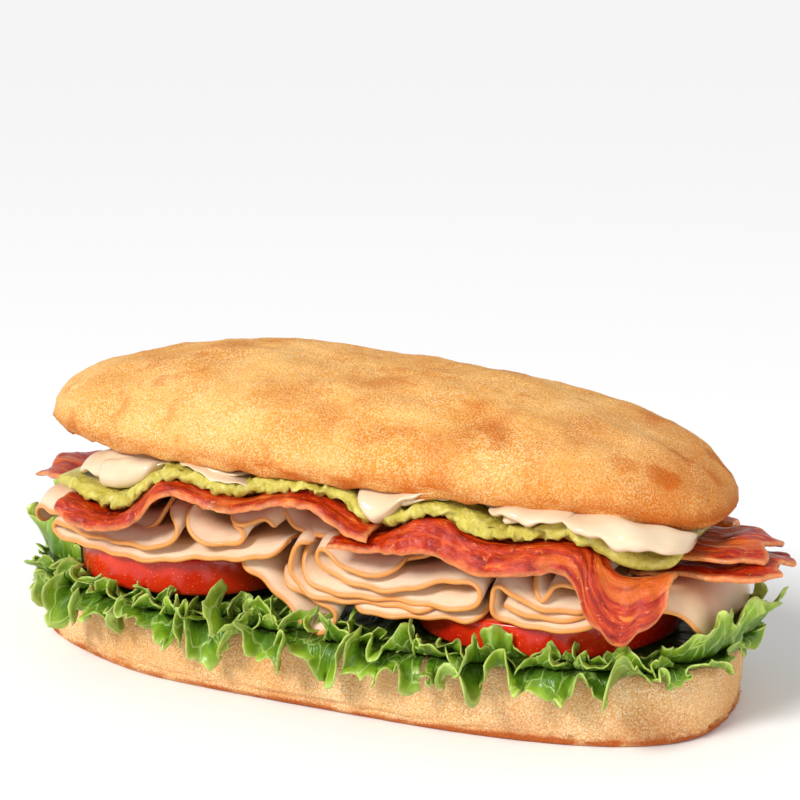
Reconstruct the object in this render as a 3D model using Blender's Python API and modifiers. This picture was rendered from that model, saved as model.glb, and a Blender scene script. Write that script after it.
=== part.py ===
"""Club sandwich on a long soft roll, built layer by layer from the base up.

Lengths in the tables are millimetres, +Z is up, +X runs along the loaf and -Y
is the front of the sandwich.  Every layer of filling is drawn as a profile
along the loaf and carried through the food from the front rim to the back rim.
"""
import math

import bmesh
import bpy
from mathutils import Vector

MM = 0.001
GAP = 0.4
COLLECTION = "club_sandwich"

# the roll
HALF_LENGTH = 107.0
HALF_WIDTH = 43.5
SQUARENESS = 2.9
BASE_HALF_LENGTH = 112.0
BASE_HALF_WIDTH = 45.6
BASE_CUT_Z = 21.0
BASE_RINGS = [(0.93, 0.0), (0.97, 0.6), (0.988, 3.4), (1.0, 9.5), (0.995, 15.5), (0.972, BASE_CUT_Z)]
LID_HALF_LENGTH = 108.0
LID_SHIFT = 1.6
LID_HALF_WIDTH = 45.0
LID_SQUARENESS = 2.5
LID_DOME_POWER = 2.2
LID_TIP_LEFT_Z = 71.4
LID_TIP_RIGHT_Z = 61.8
LID_RISE = 27.0
LID_CUT = [(-108, 67.4), (-80, 66.9), (-50, 66.7), (0, 66.3), (40, 65.9), (60, 64.6), (78, 63.6),
           (90, 61.2), (100, 58.6), (108, 57.0)]
LID_HOLLOW = [(0.955, 0.0), (0.88, 1.6), (0.72, 3.4), (0.45, 4.2)]
ROLL_STEPS = 40

# tomato slices: centre along the loaf, underside, top at the centre, slope of the top
TOMATO_RADIUS = 38.0
TOMATO_SETBACK = -3.0
TOMATOES = {
    "tomato_left": (-57.0, 25.0, 37.0, 0.0),
    "tomato_right": (57.0, 23.4, 33.0, 0.035),
}

TURKEY_THICKNESS = 1.3
TURKEY_RIM = 43.0
BACON_THICKNESS = 1.7
BACON_RIM = 48.5
BACON_ROLLOVER = 6.5
BACON_SEAM = 21.0
LETTUCE_THICKNESS = 0.8
LETTUCE_BED_Z = 21.95

# side profiles of the folded turkey slices, along the loaf and up
TURKEY = {
    "turkey_long_fold": [
        (-9, 44.8), (-20, 43.5), (-30, 41), (-40, 39.3), (-50, 38.7), (-60, 38.5),
        (-70, 38.5), (-79, 38.7), (-86, 39.7), (-89.6, 41.8), (-88, 44.2), (-83, 44.2),
        (-76, 42.4), (-69, 41.5), (-60, 41.7), (-52, 42.7), (-46, 44.2), (-42.8, 47),
        (-44, 49.6), (-48, 50.2)],
    "turkey_small_roll": [
        (-41, 51.5), (-38.5, 48.6), (-34, 46.4), (-28, 45.7), (-23, 46.4),
        (-21.2, 48.3), (-23, 49.7), (-27, 49.3)],
    "turkey_curl": [(-27, 52), (-20, 53), (-14.5, 54.2), (-12.4, 52.2), (-12.9, 49.6)],
    "turkey_hanging_fold": [
        (-24, 40), (-17, 37.6), (-11, 33.6), (-5, 29.8), (-1, 26.4), (2.5, 24.6),
        (6, 25.6), (8.2, 28.4), (7.2, 31), (2, 32.8), (-5, 35.2), (-10, 37.8)],
    "turkey_outer_wrap": [
        (-0.6, 46.3), (-3, 48.2), (-5.2, 46.5), (-6, 42.5), (-5, 39.6), (-2, 36.8),
        (2, 35.3), (8, 34.9), (20, 34.9), (30, 35.1), (40, 35.5)],
    "turkey_big_fold": [
        (-3.2, 44.6), (-2.6, 41.6), (0, 39), (4, 37.5), (10, 37), (20, 36.8),
        (30, 36.9), (40, 37.3), (47, 37.9), (51, 39.6), (52.6, 42), (51.4, 44.4),
        (47, 44.9), (38, 43), (30, 41.1), (20, 40.1), (10, 40.7), (5.2, 42.6),
        (2.4, 45.8), (3.4, 48.4), (6.4, 48.2), (9.4, 46.2), (12.5, 44.6), (20, 43.8),
        (28, 44.6)],
    "turkey_low_slice": [
        (12, 32.9), (20, 32.9), (30, 33.1), (40, 33.5), (48, 33.9), (52.4, 34.8), (53.4, 36.2)],
    "turkey_side_fold": [
        (86, 37.2), (78, 35.8), (70, 35.4), (62, 35.1), (58, 35.3), (56.1, 37.5),
        (55.9, 41), (56.5, 44.6), (58.7, 46), (62, 44.4), (66, 42.4), (71, 40.7),
        (76, 40), (82, 40.4), (85, 41)],
    "turkey_side_loop": [
        (58.4, 37.2), (60, 39.4), (63, 39.6), (67, 38.4), (72, 37.7), (78, 37.9), (84, 39)],
    "turkey_tube": [
        (67, 47.2), (68, 44.8), (70.2, 42.8), (71.8, 44.6), (73.4, 46.8), (76.4, 47.8),
        (79.4, 46.4), (81.2, 43.4)],
    "turkey_end_drape": [
        (88, 41.4), (96, 41.4), (102, 40.4), (106.6, 37), (109.2, 32), (110, 27.4)],
    "turkey_end_upright": [
        (-99.6, 36.6), (-100.4, 41.4), (-99, 45.4), (-95, 47.1), (-89, 47.2), (-83, 46.6)],
}
# slices set back from the rims, filling the hollows under the bacon
TURKEY_SET_BACK = {
    "turkey_inner_left": [
        (-44, 53.4), (-38, 54.4), (-30, 54.8), (-22, 55), (-16, 56), (-12, 55.4), (-9.4, 52.8),
        (-6, 50.8), (-1, 50.6), (6, 50.9)],
    "turkey_inner_right": [
        (12, 47.4), (18, 46.6), (26, 47), (33, 48.8), (38, 53), (43, 55.4), (48, 53.2),
        (52, 50.2), (57, 49.2), (63, 50), (70, 51.4), (78, 51.2), (82, 48.6), (84, 45.2)],
    "turkey_inner_fold": [
        (-66, 44), (-60, 44.6), (-54.6, 46.6), (-51.4, 51), (-48.6, 54.4)],
}

# bacon rashers at the front: the hanging rim, then the crest the rim rolls over
BACON_RIMS = {
    "left": [
        (-84, 48.6), (-80, 46.4), (-74, 45), (-66.5, 44.6), (-58, 46.3), (-52, 49.9),
        (-46.6, 56.2), (-42, 58.4), (-36.3, 57.8), (-29.4, 56.4), (-22.5, 56),
        (-16.5, 57), (-8.6, 59.2), (0, 60), (6, 59), (11, 56.6), (16, 53.8), (21, 52.8)],
    "right": [
        (9, 50.2), (15, 49.7), (22, 49.8), (30, 50.6), (38, 51.7), (44, 50.9), (50, 48.7),
        (56, 48.1), (62, 48.9), (70, 50.5), (76, 51), (80, 48.2), (83, 41), (86.7, 36.1),
        (90, 32.4), (93, 32), (96, 35.2), (99.5, 37.5), (102.5, 42.2)],
}
BACON_CRESTS = {
    "left": [
        (-84, 51), (-78, 49.7), (-74, 48.4), (-70, 47.6), (-65, 47.6), (-60, 49.6), (-55, 53.4),
        (-50, 58), (-46, 60.8), (-40, 61), (-33, 59.6), (-27, 58.3), (-22, 58), (-16, 59.2),
        (-10, 61), (-5, 62), (0, 62.4), (6, 61.4), (11, 59.2), (16, 56.6), (21, 55.2)],
    "right": [
        (9, 51.8), (15, 51.6), (22, 52.6), (26, 54.4), (30, 56.6), (35, 59.4), (42, 60),
        (48, 56.9), (55, 54.9), (63, 55), (72, 56.4), (79, 55.8), (84, 52.4), (88.6, 49.4),
        (93.4, 48.2), (97.3, 48), (102.5, 48.4)],
}
BACON_FOLD = {"left": (-84, 21), "right": (9, 102.5)}
# rashers along the middle: ends, rims across the loaf, profile
MIDDLE_BACON = {
    "bacon_middle_left": (-112, 18, -19, 17, [
        (-112, 49.4), (-104, 50.4), (-96, 49.8), (-90, 50.4), (-84, 51), (-78, 50), (-74, 49),
        (-70, 48.6), (-65, 48.6), (-60, 50), (-55, 53.4), (-50, 58), (-46, 60.8), (-40, 61),
        (-33, 59.6), (-27, 58.3), (-22, 58), (-16, 59.2), (-10, 61), (-5, 62), (0, 62.4),
        (6, 61.4), (11, 59.2), (18, 56)]),
    "bacon_middle_right": (24, 122, -19, 12, [
        (24, 53.6), (30, 56.6), (35, 59.4), (42, 60), (48, 56.9), (55, 54.9), (63, 55),
        (72, 56.4), (79, 55.6), (84, 52.4), (90, 51.2), (98, 51), (106, 51), (114, 52.6),
        (122, 52)]),
    "bacon_end_right": (86, 127, -21, 8, [
        (86, 44.6), (94, 45.4), (102, 46.8), (110, 47), (118, 48.4), (127, 48.8)]),
}

# underside of the avocado layer, its depth, and the top of the mayonnaise
AVOCADO_UNDERSIDE = [
    (-92, 52.6), (-84, 52.4), (-78, 51.4), (-74, 50.4), (-70, 49.9), (-65, 49.9), (-60, 51.4),
    (-55, 54.9), (-50, 59.4), (-46, 62.1), (-40, 62.3), (-33, 60.9), (-27, 59.6), (-22, 59.3),
    (-16, 60.5), (-10, 62.3), (-5, 63.3), (0, 63.7), (6, 62.7), (11, 60.5), (16, 58),
    (21, 56.6), (24, 56.2), (26.5, 56.6), (30, 58.2), (35, 60.8), (42, 61.4), (48, 58.4),
    (55, 56.3), (63, 56.3), (72, 57.7), (79, 57.2), (84, 54.4), (88.6, 51.2), (93.4, 49.7),
    (98, 49.5), (104, 49.9)]
AVOCADO_DEPTH = [
    (-92, 3.2), (-84, 3.8), (-74, 4.2), (-65, 4.6), (-55, 4.2), (-47, 3.4), (-40, 3.2),
    (-33, 3.6), (-27, 4.2), (-20, 4.4), (-12, 3.4), (-5, 2.8), (0, 2.4), (6, 2.8), (12, 4),
    (20, 4.4), (27, 4.4), (33, 3.8), (38, 3.4), (43, 3.2), (50, 4.2), (60, 4.2), (70, 4.2),
    (80, 4.4), (88, 4.6), (95, 3.4), (104, 3)]
AVOCADO_RAISED = 53.3
MAYO_TOP = [
    (-84, 59), (-76, 61.5), (-68, 63.5), (-58, 64.8), (-50, 65.4), (-40, 66.9), (-30, 66.2),
    (-20, 65.6), (-10, 66.8), (0, 67.4), (8, 66.8), (16, 65.4), (26, 65.2), (36, 65.6),
    (44, 66), (52, 64), (60, 63.4), (68, 63.6), (76, 63.4), (84, 61.6), (92, 59.4), (100, 57.0)]
# stretches of the loaf where the mayonnaise reaches out to the front rim
MAYO_SPILLS = [(-74, -50), (-38, -20), (16, 44), (55, 76), (78, 100)]

# lettuce leaves: first and last position along the loaf
LEAF_SPAN = {"lettuce_left": (-112, -38.9), "lettuce_middle": (-37.6, 37.6), "lettuce_right": (38.9, 112)}
FRILL_LENGTH = 15.0
FRILL_SHELF = 4.2


def mix(a, b, t):
    return a + (b - a) * t


def smooth(t):
    t = min(1.0, max(0.0, t))
    return t * t * (3.0 - 2.0 * t)


def curve_at(table, x):
    """Height of a smooth profile through the table's points at the position x."""
    if x <= table[0][0]:
        return table[0][1]
    for i in range(len(table) - 1):
        x0, z0 = table[i]
        x1, z1 = table[i + 1]
        if x <= x1:
            before = table[max(i - 1, 0)]
            after = table[min(i + 2, len(table) - 1)]
            m0 = (z1 - before[1]) / (x1 - before[0])
            m1 = (after[1] - z0) / (after[0] - x0)
            h = x1 - x0
            t = (x - x0) / h
            a = (1 + 2 * t) * (1 - t) ** 2 * z0 + t * (1 - t) ** 2 * h * m0
            return a + t * t * (3 - 2 * t) * z1 + t * t * (t - 1) * h * m1
    return table[-1][1]


def path_through(points, steps):
    """Even run of points along a rounded line through the given corners."""
    dense = []
    for i in range(len(points) - 1):
        p = [Vector(points[min(max(i + k, 0), len(points) - 1)]) for k in (-1, 0, 1, 2)]
        for j in range(12):
            t = j / 12
            dense.append(0.5 * (2 * p[1] + (p[2] - p[0]) * t
                                + (2 * p[0] - 5 * p[1] + 4 * p[2] - p[3]) * t * t
                                + (3 * p[1] - p[0] - 3 * p[2] + p[3]) * t ** 3))
    dense.append(Vector(points[-1]))
    lengths = [0.0]
    for a, b in zip(dense, dense[1:]):
        lengths.append(lengths[-1] + (b - a).length)
    line = []
    k = 0
    for i in range(steps + 1):
        want = lengths[-1] * i / steps
        while k < len(dense) - 2 and lengths[k + 1] < want:
            k += 1
        span = max(lengths[k + 1] - lengths[k], 1e-9)
        line.append(dense[k].lerp(dense[k + 1], (want - lengths[k]) / span))
    return line


def loaf_half_width(x, half_length=HALF_LENGTH, half_width=HALF_WIDTH, power=SQUARENESS):
    r = min(abs(x) / half_length, 1.0)
    return half_width * max(1.0 - r ** power, 0.0) ** (1.0 / power)


def loaf_outline(angle, half_length, half_width, power):
    c = math.cos(angle)
    s = math.sin(angle)
    x = math.copysign(abs(c) ** (2 / power), c) * half_length
    y = math.copysign(abs(s) ** (2 / power), s) * half_width
    return x, y


def material(name, colour, roughness):
    mat = bpy.data.materials.new(name)
    mat.use_nodes = True
    shader = mat.node_tree.nodes["Principled BSDF"]
    shader.inputs["Base Color"].default_value = (*colour, 1.0)
    shader.inputs["Roughness"].default_value = roughness
    shader.inputs["Metallic"].default_value = 0.0
    mat.diffuse_color = (*colour, 1.0)
    return mat


def add_object(name, bm, mat, collection):
    bmesh.ops.recalc_face_normals(bm, faces=bm.faces)
    mesh = bpy.data.meshes.new(name)
    bm.to_mesh(mesh)
    bm.free()
    ob = bpy.data.objects.new(name, mesh)
    ob.data.materials.append(mat)
    collection.objects.link(ob)
    return ob


def sheet(name, mat, collection, across, along, place, thickness):
    """Thin slice: a grid laid on a surface and thickened equally to both sides."""
    bm = bmesh.new()
    bmesh.ops.create_grid(bm, x_segments=along, y_segments=across, size=1.0)
    for v in bm.verts:
        u = (v.co.x + 1) / 2
        w = (v.co.y + 1) / 2
        v.co = Vector(place(u, w)) * MM
    ob = add_object(name, bm, mat, collection)
    thick = ob.modifiers.new("thickness", "SOLIDIFY")
    thick.thickness = thickness * MM
    thick.offset = 0.0
    return ob


def loft(name, mat, collection, rings):
    """Closed solid skinned over rings of equal count, capped at both ends."""
    bm = bmesh.new()
    loops = [[bm.verts.new(Vector(p) * MM) for p in ring] for ring in rings]
    n = len(loops[0])
    for a, b in zip(loops, loops[1:]):
        for i in range(n):
            j = (i + 1) % n
            bm.faces.new((a[i], a[j], b[j], b[i]))
    for ring in (loops[0], loops[-1]):
        middle = bm.verts.new(sum((v.co for v in ring), Vector()) / n)
        for i in range(n):
            bm.faces.new((ring[i], ring[(i + 1) % n], middle))
    return add_object(name, bm, mat, collection)


def build_roll(top_mat, bottom_mat, collection):
    angles = [2 * math.pi * i / ROLL_STEPS for i in range(ROLL_STEPS)]
    rings = []
    for scale, z in BASE_RINGS + [(0.6, BASE_CUT_Z)]:
        ring = []
        for a in angles:
            x, y = loaf_outline(a, BASE_HALF_LENGTH, BASE_HALF_WIDTH, SQUARENESS)
            inset = (1 - scale) * BASE_HALF_WIDTH
            k = 1 - inset / max(math.hypot(x, y), 1.0) if scale > 0.7 else scale
            ring.append((x * k, y * k, z))
        rings.append(ring)
    base = loft("bun_bottom", bottom_mat, collection, rings)

    rings = []
    for scale, lift in reversed(LID_HOLLOW):
        rings.append(lid_ring(angles, scale, lambda x, lift=lift: curve_at(LID_CUT, x) + lift))
    rings.append(lid_ring(angles, 0.982, lambda x: curve_at(LID_CUT, x) + 1.0))
    steps = 7
    for i in range(steps):
        turn = math.pi / 2 * i / (steps - 0.4)
        r = math.cos(turn)
        rings.append(lid_ring(angles, r, lambda x, r=r: lid_height(x, r)))
    lid = loft("bun_top", top_mat, collection, rings)
    return base, lid


def lid_ring(angles, scale, height):
    ring = []
    for a in angles:
        x, y = loaf_outline(a, LID_HALF_LENGTH, LID_HALF_WIDTH, LID_SQUARENESS)
        along = x * scale + LID_SHIFT
        ring.append((along, y * scale, height(along)))
    return ring


def lid_height(x, r):
    tilt = mix(LID_TIP_LEFT_Z, LID_TIP_RIGHT_Z, (x / LID_HALF_LENGTH + 1) / 2)
    rim = curve_at(LID_CUT, x) + 3.6
    base = mix(tilt, rim, r ** 6)
    return base + LID_RISE * max(1 - r ** LID_DOME_POWER, 0.0) ** (1 / LID_DOME_POWER)


def build_tomato(name, mat, collection, centre, low, high, slope):
    rings = []
    for inset, level in ((3, 0.0), (0.8, 0.03), (0, 0.16), (0, 0.84), (0.8, 0.97), (3, 1.0)):
        ring = []
        for i in range(24):
            a = 2 * math.pi * i / 24
            wobble = TOMATO_RADIUS + 0.5 * math.sin(5 * a + centre) - inset
            x = centre + wobble * math.cos(a)
            y = TOMATO_SETBACK + wobble * math.sin(a)
            ring.append((x, y, mix(low, high + slope * (x - centre), level)))
        rings.append(ring)
    return loft(name, mat, collection, rings)


def build_turkey(name, mat, collection, points, rim=TURKEY_RIM):
    steps = max(6, min(36, int(1.6 * len(points))))
    line = path_through(points, steps)
    wave = sum(points[0])

    def place(u, w):
        p = line[min(int(round(u * steps)), steps)]
        reach = min(rim, loaf_half_width(p.x, 113.0, 47.0) + 0.6)
        reach += 0.9 * math.sin(7.0 * u + wave)
        y = mix(-reach, reach, w)
        return p.x, y, p.y

    return sheet(name, mat, collection, 1, steps, place, TURKEY_THICKNESS)


def bacon_place(side, mirror):
    start, end = BACON_FOLD[side]

    def place(u, w):
        x = mix(start, end, u)
        rim_z = curve_at(BACON_RIMS[side], x)
        crest_z = curve_at(BACON_CRESTS[side], x)
        rim_y = min(BACON_RIM, loaf_half_width(x, 113.0, 46.0) + 6.5) + 0.5 * math.sin(x / 4.3)
        seam = min(BACON_SEAM, rim_y - BACON_ROLLOVER - 3.0)
        crest_y = rim_y - BACON_ROLLOVER
        flat = 0.25
        if side == "right":
            seam = mix(seam, crest_y - 2.0, smooth((x - 80.0) / 8.0))
        if w < flat:
            return x, mirror * mix(seam, crest_y, w / flat), crest_z
        turn = math.pi / 2 * (w - flat) / (1 - flat)
        y = crest_y + BACON_ROLLOVER * math.sin(turn)
        return x, mirror * y, crest_z - (crest_z - rim_z) * (1 - math.cos(turn))

    return place


def middle_bacon_place(spec):
    start, end, low_y, high_y, profile = spec

    def place(u, w):
        x = mix(start, end, u)
        ends = 1.0 - 0.28 * smooth(abs(u - 0.5) * 2 * 5 - 4)
        y = mix(low_y, high_y, 0.5 + (w - 0.5) * ends) + 0.8 * math.sin(x / 7.0)
        return x, y, curve_at(profile, x)

    return place


def avocado_underside(x, y):
    z = curve_at(AVOCADO_UNDERSIDE, x)
    raised = smooth((x - 77.0) / 5.0) * smooth((y + 26.0) / 5.0)
    return mix(z, max(z, AVOCADO_RAISED), raised)


def avocado_top(x, y):
    return avocado_underside(x, y) + curve_at(AVOCADO_DEPTH, x)


def slab(name, mat, collection, start, end, steps, rim, low, high):
    """Soft layer with rounded rims between two surfaces, running front to back."""
    rings = []
    for i in range(steps + 1):
        x = mix(start, end, i / steps)
        close = 1.0 if 0 < i < steps else 0.55
        front = rim(x, -1)
        back = rim(x, 1)
        ring = []
        spread = [0.0, 0.035, 0.15, 0.5, 0.85, 0.965, 1.0]
        for w in spread:
            y = mix(-front, back, w)
            edge = min(w, 1 - w) * (front + back) / 3.2
            lift = 0.5 * (1 - math.sqrt(max(0.0, 1 - (1 - min(1.0, edge)) ** 2)))
            lift = mix(0.5, lift, close)
            ring.append((x, y, mix(low(x, y), high(x, y), lift)))
        for w in reversed(spread[1:-1]):
            y = mix(-front, back, w)
            edge = min(w, 1 - w) * (front + back) / 3.2
            lift = 0.5 * (1 - math.sqrt(max(0.0, 1 - (1 - min(1.0, edge)) ** 2)))
            lift = mix(0.5, lift, close)
            ring.append((x, y, mix(high(x, y), low(x, y), lift)))
        rings.append(ring)
    return loft(name, mat, collection, rings)


def avocado_rim(x, side):
    return min(42.4, loaf_half_width(x) + 1.2) + 0.7 * math.sin(x / 2.9 + side)


def mayo_rim(x, side):
    spill = max(smooth((x - a) / 4.0) * smooth((b - x) / 4.0) for a, b in MAYO_SPILLS)
    return min(mix(33.0, 42.0, spill), loaf_half_width(x) + 0.5)


def mayo_low(x, y):
    return avocado_top(x, y) + GAP + 0.7 * smooth((x - 70.0) / 7.0)


def mayo_high(x, y):
    floor = mayo_low(x, y)
    return max(floor + 0.8, curve_at(MAYO_TOP, x))


def frill_angle(length):
    """Slope of the leaf's ruffled margin at a distance round the roll, in radians."""
    swing = (math.sin(length / 3.6) + 0.55 * math.sin(length / 1.9 + 1.3)
             + 0.35 * math.sin(length / 6.7 + 0.4))
    return math.radians(-4 + 62 * max(-1.15, min(1.15, swing)))


def leaf_point(length, centre_x, centre_y, normal_x, normal_y, out):
    """Point of a leaf: out runs from the roll's rim (0) to the frilled edge (1)."""
    steps = 8
    angle = frill_angle(length)
    reach = FRILL_LENGTH * (1 + 0.22 * math.sin(length / 2.3 + 2.0))
    reach *= 1 - 0.5 * smooth((abs(centre_x) - 90.0) / 18.0)
    d = 0.0
    z = LETTUCE_BED_Z
    for k in range(steps):
        s = out * (k + 0.5) / steps
        bend = angle * smooth((s - 0.16) / 0.5)
        step = out / steps * reach
        d += math.cos(bend) * step
        z += math.sin(bend) * step
    return centre_x + normal_x * d, centre_y + normal_y * d, z


def rim_walk():
    """Points, normals and running length round the roll's cut rim, front first."""
    walk = []
    length = 0.0
    last = None
    count = 720
    for i in range(count + 1):
        a = -math.pi / 2 + 2 * math.pi * i / count
        x, y = loaf_outline(a, BASE_HALF_LENGTH - 1.0, BASE_HALF_WIDTH - 0.6, SQUARENESS)
        if last is not None:
            length += math.hypot(x - last[0], y - last[1])
        last = (x, y)
        walk.append((length, x, y))
    return walk


def rim_at(walk, length):
    total = walk[-1][0]
    length = length % total
    for a, b in zip(walk, walk[1:]):
        if b[0] >= length and b[0] > a[0]:
            t = (length - a[0]) / (b[0] - a[0])
            x = mix(a[1], b[1], t)
            y = mix(a[2], b[2], t)
            gx = math.copysign(abs(x / BASE_HALF_LENGTH) ** (SQUARENESS - 1) / BASE_HALF_LENGTH, x)
            gy = math.copysign(abs(y / BASE_HALF_WIDTH) ** (SQUARENESS - 1) / BASE_HALF_WIDTH, y)
            size = math.hypot(gx, gy)
            return x, y, gx / size, gy / size
    return walk[-1][1], walk[-1][2], 0.0, -1.0


def length_where(walk, x, front):
    """Running length round the rim where it passes x on the front or the back."""
    for a, b in zip(walk, walk[1:]):
        on_front = (a[2] + b[2]) < 0
        if on_front == front and min(a[1], b[1]) <= x <= max(a[1], b[1]):
            return a[0]
    return 0.0


def build_middle_leaf(name, mat, collection, walk, start, end):
    rows = 8
    outs = [1.0, 0.7, 0.35, 0.0, -1.0]
    total = walk[-1][0]

    def place(u, w):
        x = mix(start, end, u)
        k = int(round(w * rows))
        front = k <= rows // 2
        out = outs[k] if front else outs[rows - k]
        length = length_where(walk, x, front)
        length = length + total if length < total / 4 and front else length
        px, py, nx, ny = rim_at(walk, length)
        if out <= 0:
            return x, py * (1 + out), LETTUCE_BED_Z
        p = leaf_point(length, px, py, nx, ny, out)
        return x, p[1], p[2]

    return sheet(name, mat, collection, rows, 22, place, LETTUCE_THICKNESS)


def build_end_leaf(name, mat, collection, walk, start, end):
    outs = [-1.0, 0.0, 0.35, 0.7, 1.0]
    right = end > 0
    total = walk[-1][0]
    inner_x = start if right else end
    if right:
        first = length_where(walk, inner_x, True)
        last = length_where(walk, inner_x, False)
    else:
        first = length_where(walk, inner_x, False)
        last = length_where(walk, inner_x, True)
        last = last + total if last < first else last

    def place(u, w):
        length = mix(first, last, u)
        px, py, nx, ny = rim_at(walk, length)
        out = outs[int(round(w * 4))]
        if out <= 0:
            heart = inner_x + math.copysign(3.0, inner_x)
            return mix(px, mix(px, heart, 0.55), -out), mix(py, py * 0.08, -out), LETTUCE_BED_Z
        return leaf_point(length, px, py, nx, ny, out)

    return sheet(name, mat, collection, 4, 58, place, LETTUCE_THICKNESS)


def settle_on_origin(collection):
    """Move every piece together so the base's middle is at the origin."""
    bpy.context.view_layer.update()
    graph = bpy.context.evaluated_depsgraph_get()
    low = Vector((1e9, 1e9, 1e9))
    high = -low
    for ob in collection.objects:
        mesh = ob.evaluated_get(graph).to_mesh()
        for v in mesh.vertices:
            low = Vector(map(min, low, v.co))
            high = Vector(map(max, high, v.co))
    shift = Vector((-(low.x + high.x) / 2, -(low.y + high.y) / 2, -low.z))
    for ob in collection.objects:
        for v in ob.data.vertices:
            v.co += shift
        ob.data.update()


def main():
    for ob in list(bpy.data.objects):
        bpy.data.objects.remove(ob, do_unlink=True)
    collection = bpy.data.collections.new(COLLECTION)
    bpy.context.scene.collection.children.link(collection)

    crust_top = material("crust_top", (0.70, 0.40, 0.15), 0.75)
    crust_bottom = material("crust_bottom", (0.74, 0.46, 0.20), 0.75)
    leaf = material("lettuce_leaf", (0.20, 0.42, 0.05), 0.45)
    flesh = material("tomato_flesh", (0.72, 0.06, 0.02), 0.3)
    turkey = material("turkey_slice", (0.80, 0.56, 0.38), 0.5)
    bacon = material("bacon_rasher", (0.60, 0.09, 0.03), 0.35)
    avocado = material("avocado_mash", (0.52, 0.52, 0.12), 0.4)
    mayo = material("mayonnaise", (0.86, 0.78, 0.60), 0.3)

    build_roll(crust_top, crust_bottom, collection)
    walk = rim_walk()
    for name, (start, end) in LEAF_SPAN.items():
        builder = build_middle_leaf if name == "lettuce_middle" else build_end_leaf
        builder(name, leaf, collection, walk, start, end)
    for name, (centre, low, high, slope) in TOMATOES.items():
        build_tomato(name, flesh, collection, centre, low, high, slope)
    for name, points in TURKEY.items():
        build_turkey(name, turkey, collection, points)
    for name, points in TURKEY_SET_BACK.items():
        build_turkey(name, turkey, collection, points, TURKEY_RIM - 7.0)
    for side, steps in (("left", 22), ("right", 24)):
        for label, mirror in (("front", -1), ("back", 1)):
            name = "bacon_" + label + "_" + side
            sheet(name, bacon, collection, 4, steps, bacon_place(side, mirror), BACON_THICKNESS)
    for name, spec in MIDDLE_BACON.items():
        steps = int((spec[1] - spec[0]) / 5.0)
        sheet(name, bacon, collection, 1, steps, middle_bacon_place(spec), BACON_THICKNESS)
    slab("avocado_mash", avocado, collection, -90.0, 103.0, 36, avocado_rim,
         avocado_underside, avocado_top)
    slab("mayonnaise", mayo, collection, -80.0, 97.0, 32, mayo_rim,
         mayo_low, mayo_high)
    settle_on_origin(collection)


main()
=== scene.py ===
import math

import bpy
import numpy as np
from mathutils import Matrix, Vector


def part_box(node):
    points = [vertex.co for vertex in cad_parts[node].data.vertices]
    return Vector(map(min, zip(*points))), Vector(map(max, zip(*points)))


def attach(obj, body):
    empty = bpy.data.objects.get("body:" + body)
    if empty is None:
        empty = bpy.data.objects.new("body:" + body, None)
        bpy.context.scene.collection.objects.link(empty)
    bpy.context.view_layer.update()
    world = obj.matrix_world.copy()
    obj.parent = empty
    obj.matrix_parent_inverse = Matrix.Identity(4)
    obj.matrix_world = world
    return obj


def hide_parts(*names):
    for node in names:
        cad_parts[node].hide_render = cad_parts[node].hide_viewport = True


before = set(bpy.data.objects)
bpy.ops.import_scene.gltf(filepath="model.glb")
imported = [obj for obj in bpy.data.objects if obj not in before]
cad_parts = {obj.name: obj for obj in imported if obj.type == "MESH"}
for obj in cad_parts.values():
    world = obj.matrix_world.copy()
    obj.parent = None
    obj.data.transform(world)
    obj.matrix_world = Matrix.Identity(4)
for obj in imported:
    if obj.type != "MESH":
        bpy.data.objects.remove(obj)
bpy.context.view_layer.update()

MM = 0.001

# The design is drawn about the middle of the bottom roll, in millimetres, and
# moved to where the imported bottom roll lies.
roll_low, roll_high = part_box("bun_bottom")
HOME = np.array([(roll_low[0] + roll_high[0]) / 2, (roll_low[1] + roll_high[1]) / 2, roll_low[2]])

# blunt ovals that the layers fill: half length, half width, bluntness
ROLL_PLAN = (112.0, 45.6, 2.9)
RIM_PLAN = (111.0, 45.0, 2.9)
LID_PLAN = (108.0, 45.0, 2.5)
TURKEY_PLAN = (113.0, 47.0, 2.9)
BACON_PLAN = (113.0, 46.0, 2.9)
SPREAD_PLAN = (107.0, 43.5, 2.9)


# ---------------------------------------------------------------- curves
def ease(t):
    """Smooth step from 0 to 1."""
    t = np.clip(t, 0.0, 1.0)
    return t * t * (3.0 - 2.0 * t)


def rounded(points, per_step=14):
    """Dense smooth line through given corners, any number of coordinates."""
    p = np.asarray(points, float)
    p = np.vstack([2 * p[0] - p[1], p, 2 * p[-1] - p[-2]])
    t = np.linspace(0, 1, per_step, endpoint=False)[:, None]
    line = []
    for a, b, c, d in zip(p, p[1:], p[2:], p[3:]):
        line.append(0.5 * (2 * b + (c - a) * t + (2 * a - 5 * b + 4 * c - d) * t ** 2
                           + (3 * b - a - 3 * c + d) * t ** 3))
    line.append(p[-2:-1])
    return np.vstack(line)


def height(table, x):
    """Smooth height over position for a table of (position, height)."""
    line = rounded(table)
    return np.interp(x, np.maximum.accumulate(line[:, 0]), line[:, 1])


def walk(points, share):
    """Points at equal shares of the length of a smooth line, and its length."""
    line = rounded(points)
    run = np.concatenate([[0], np.cumsum(np.linalg.norm(np.diff(line, axis=0), axis=1))])
    at = np.asarray(share) * run[-1]
    return np.stack([np.interp(at, run, line[:, k]) for k in range(line.shape[1])], -1), run[-1]


def lumps(p, size, seed, octaves=2):
    """Smooth seeded unevenness between about -1 and 1; size is the lump spacing in mm."""
    rng = np.random.default_rng(seed)
    total = np.zeros(np.shape(p)[:-1])
    weight = 1.0
    for _ in range(octaves):
        for _ in range(7):
            way = rng.normal(size=3)
            way *= 2 * math.pi / size / np.linalg.norm(way)
            total += weight * np.sin(p @ way + rng.uniform(0, 6.283)) / 2.7
        size *= 0.47
        weight *= 0.5
    return total


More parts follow.
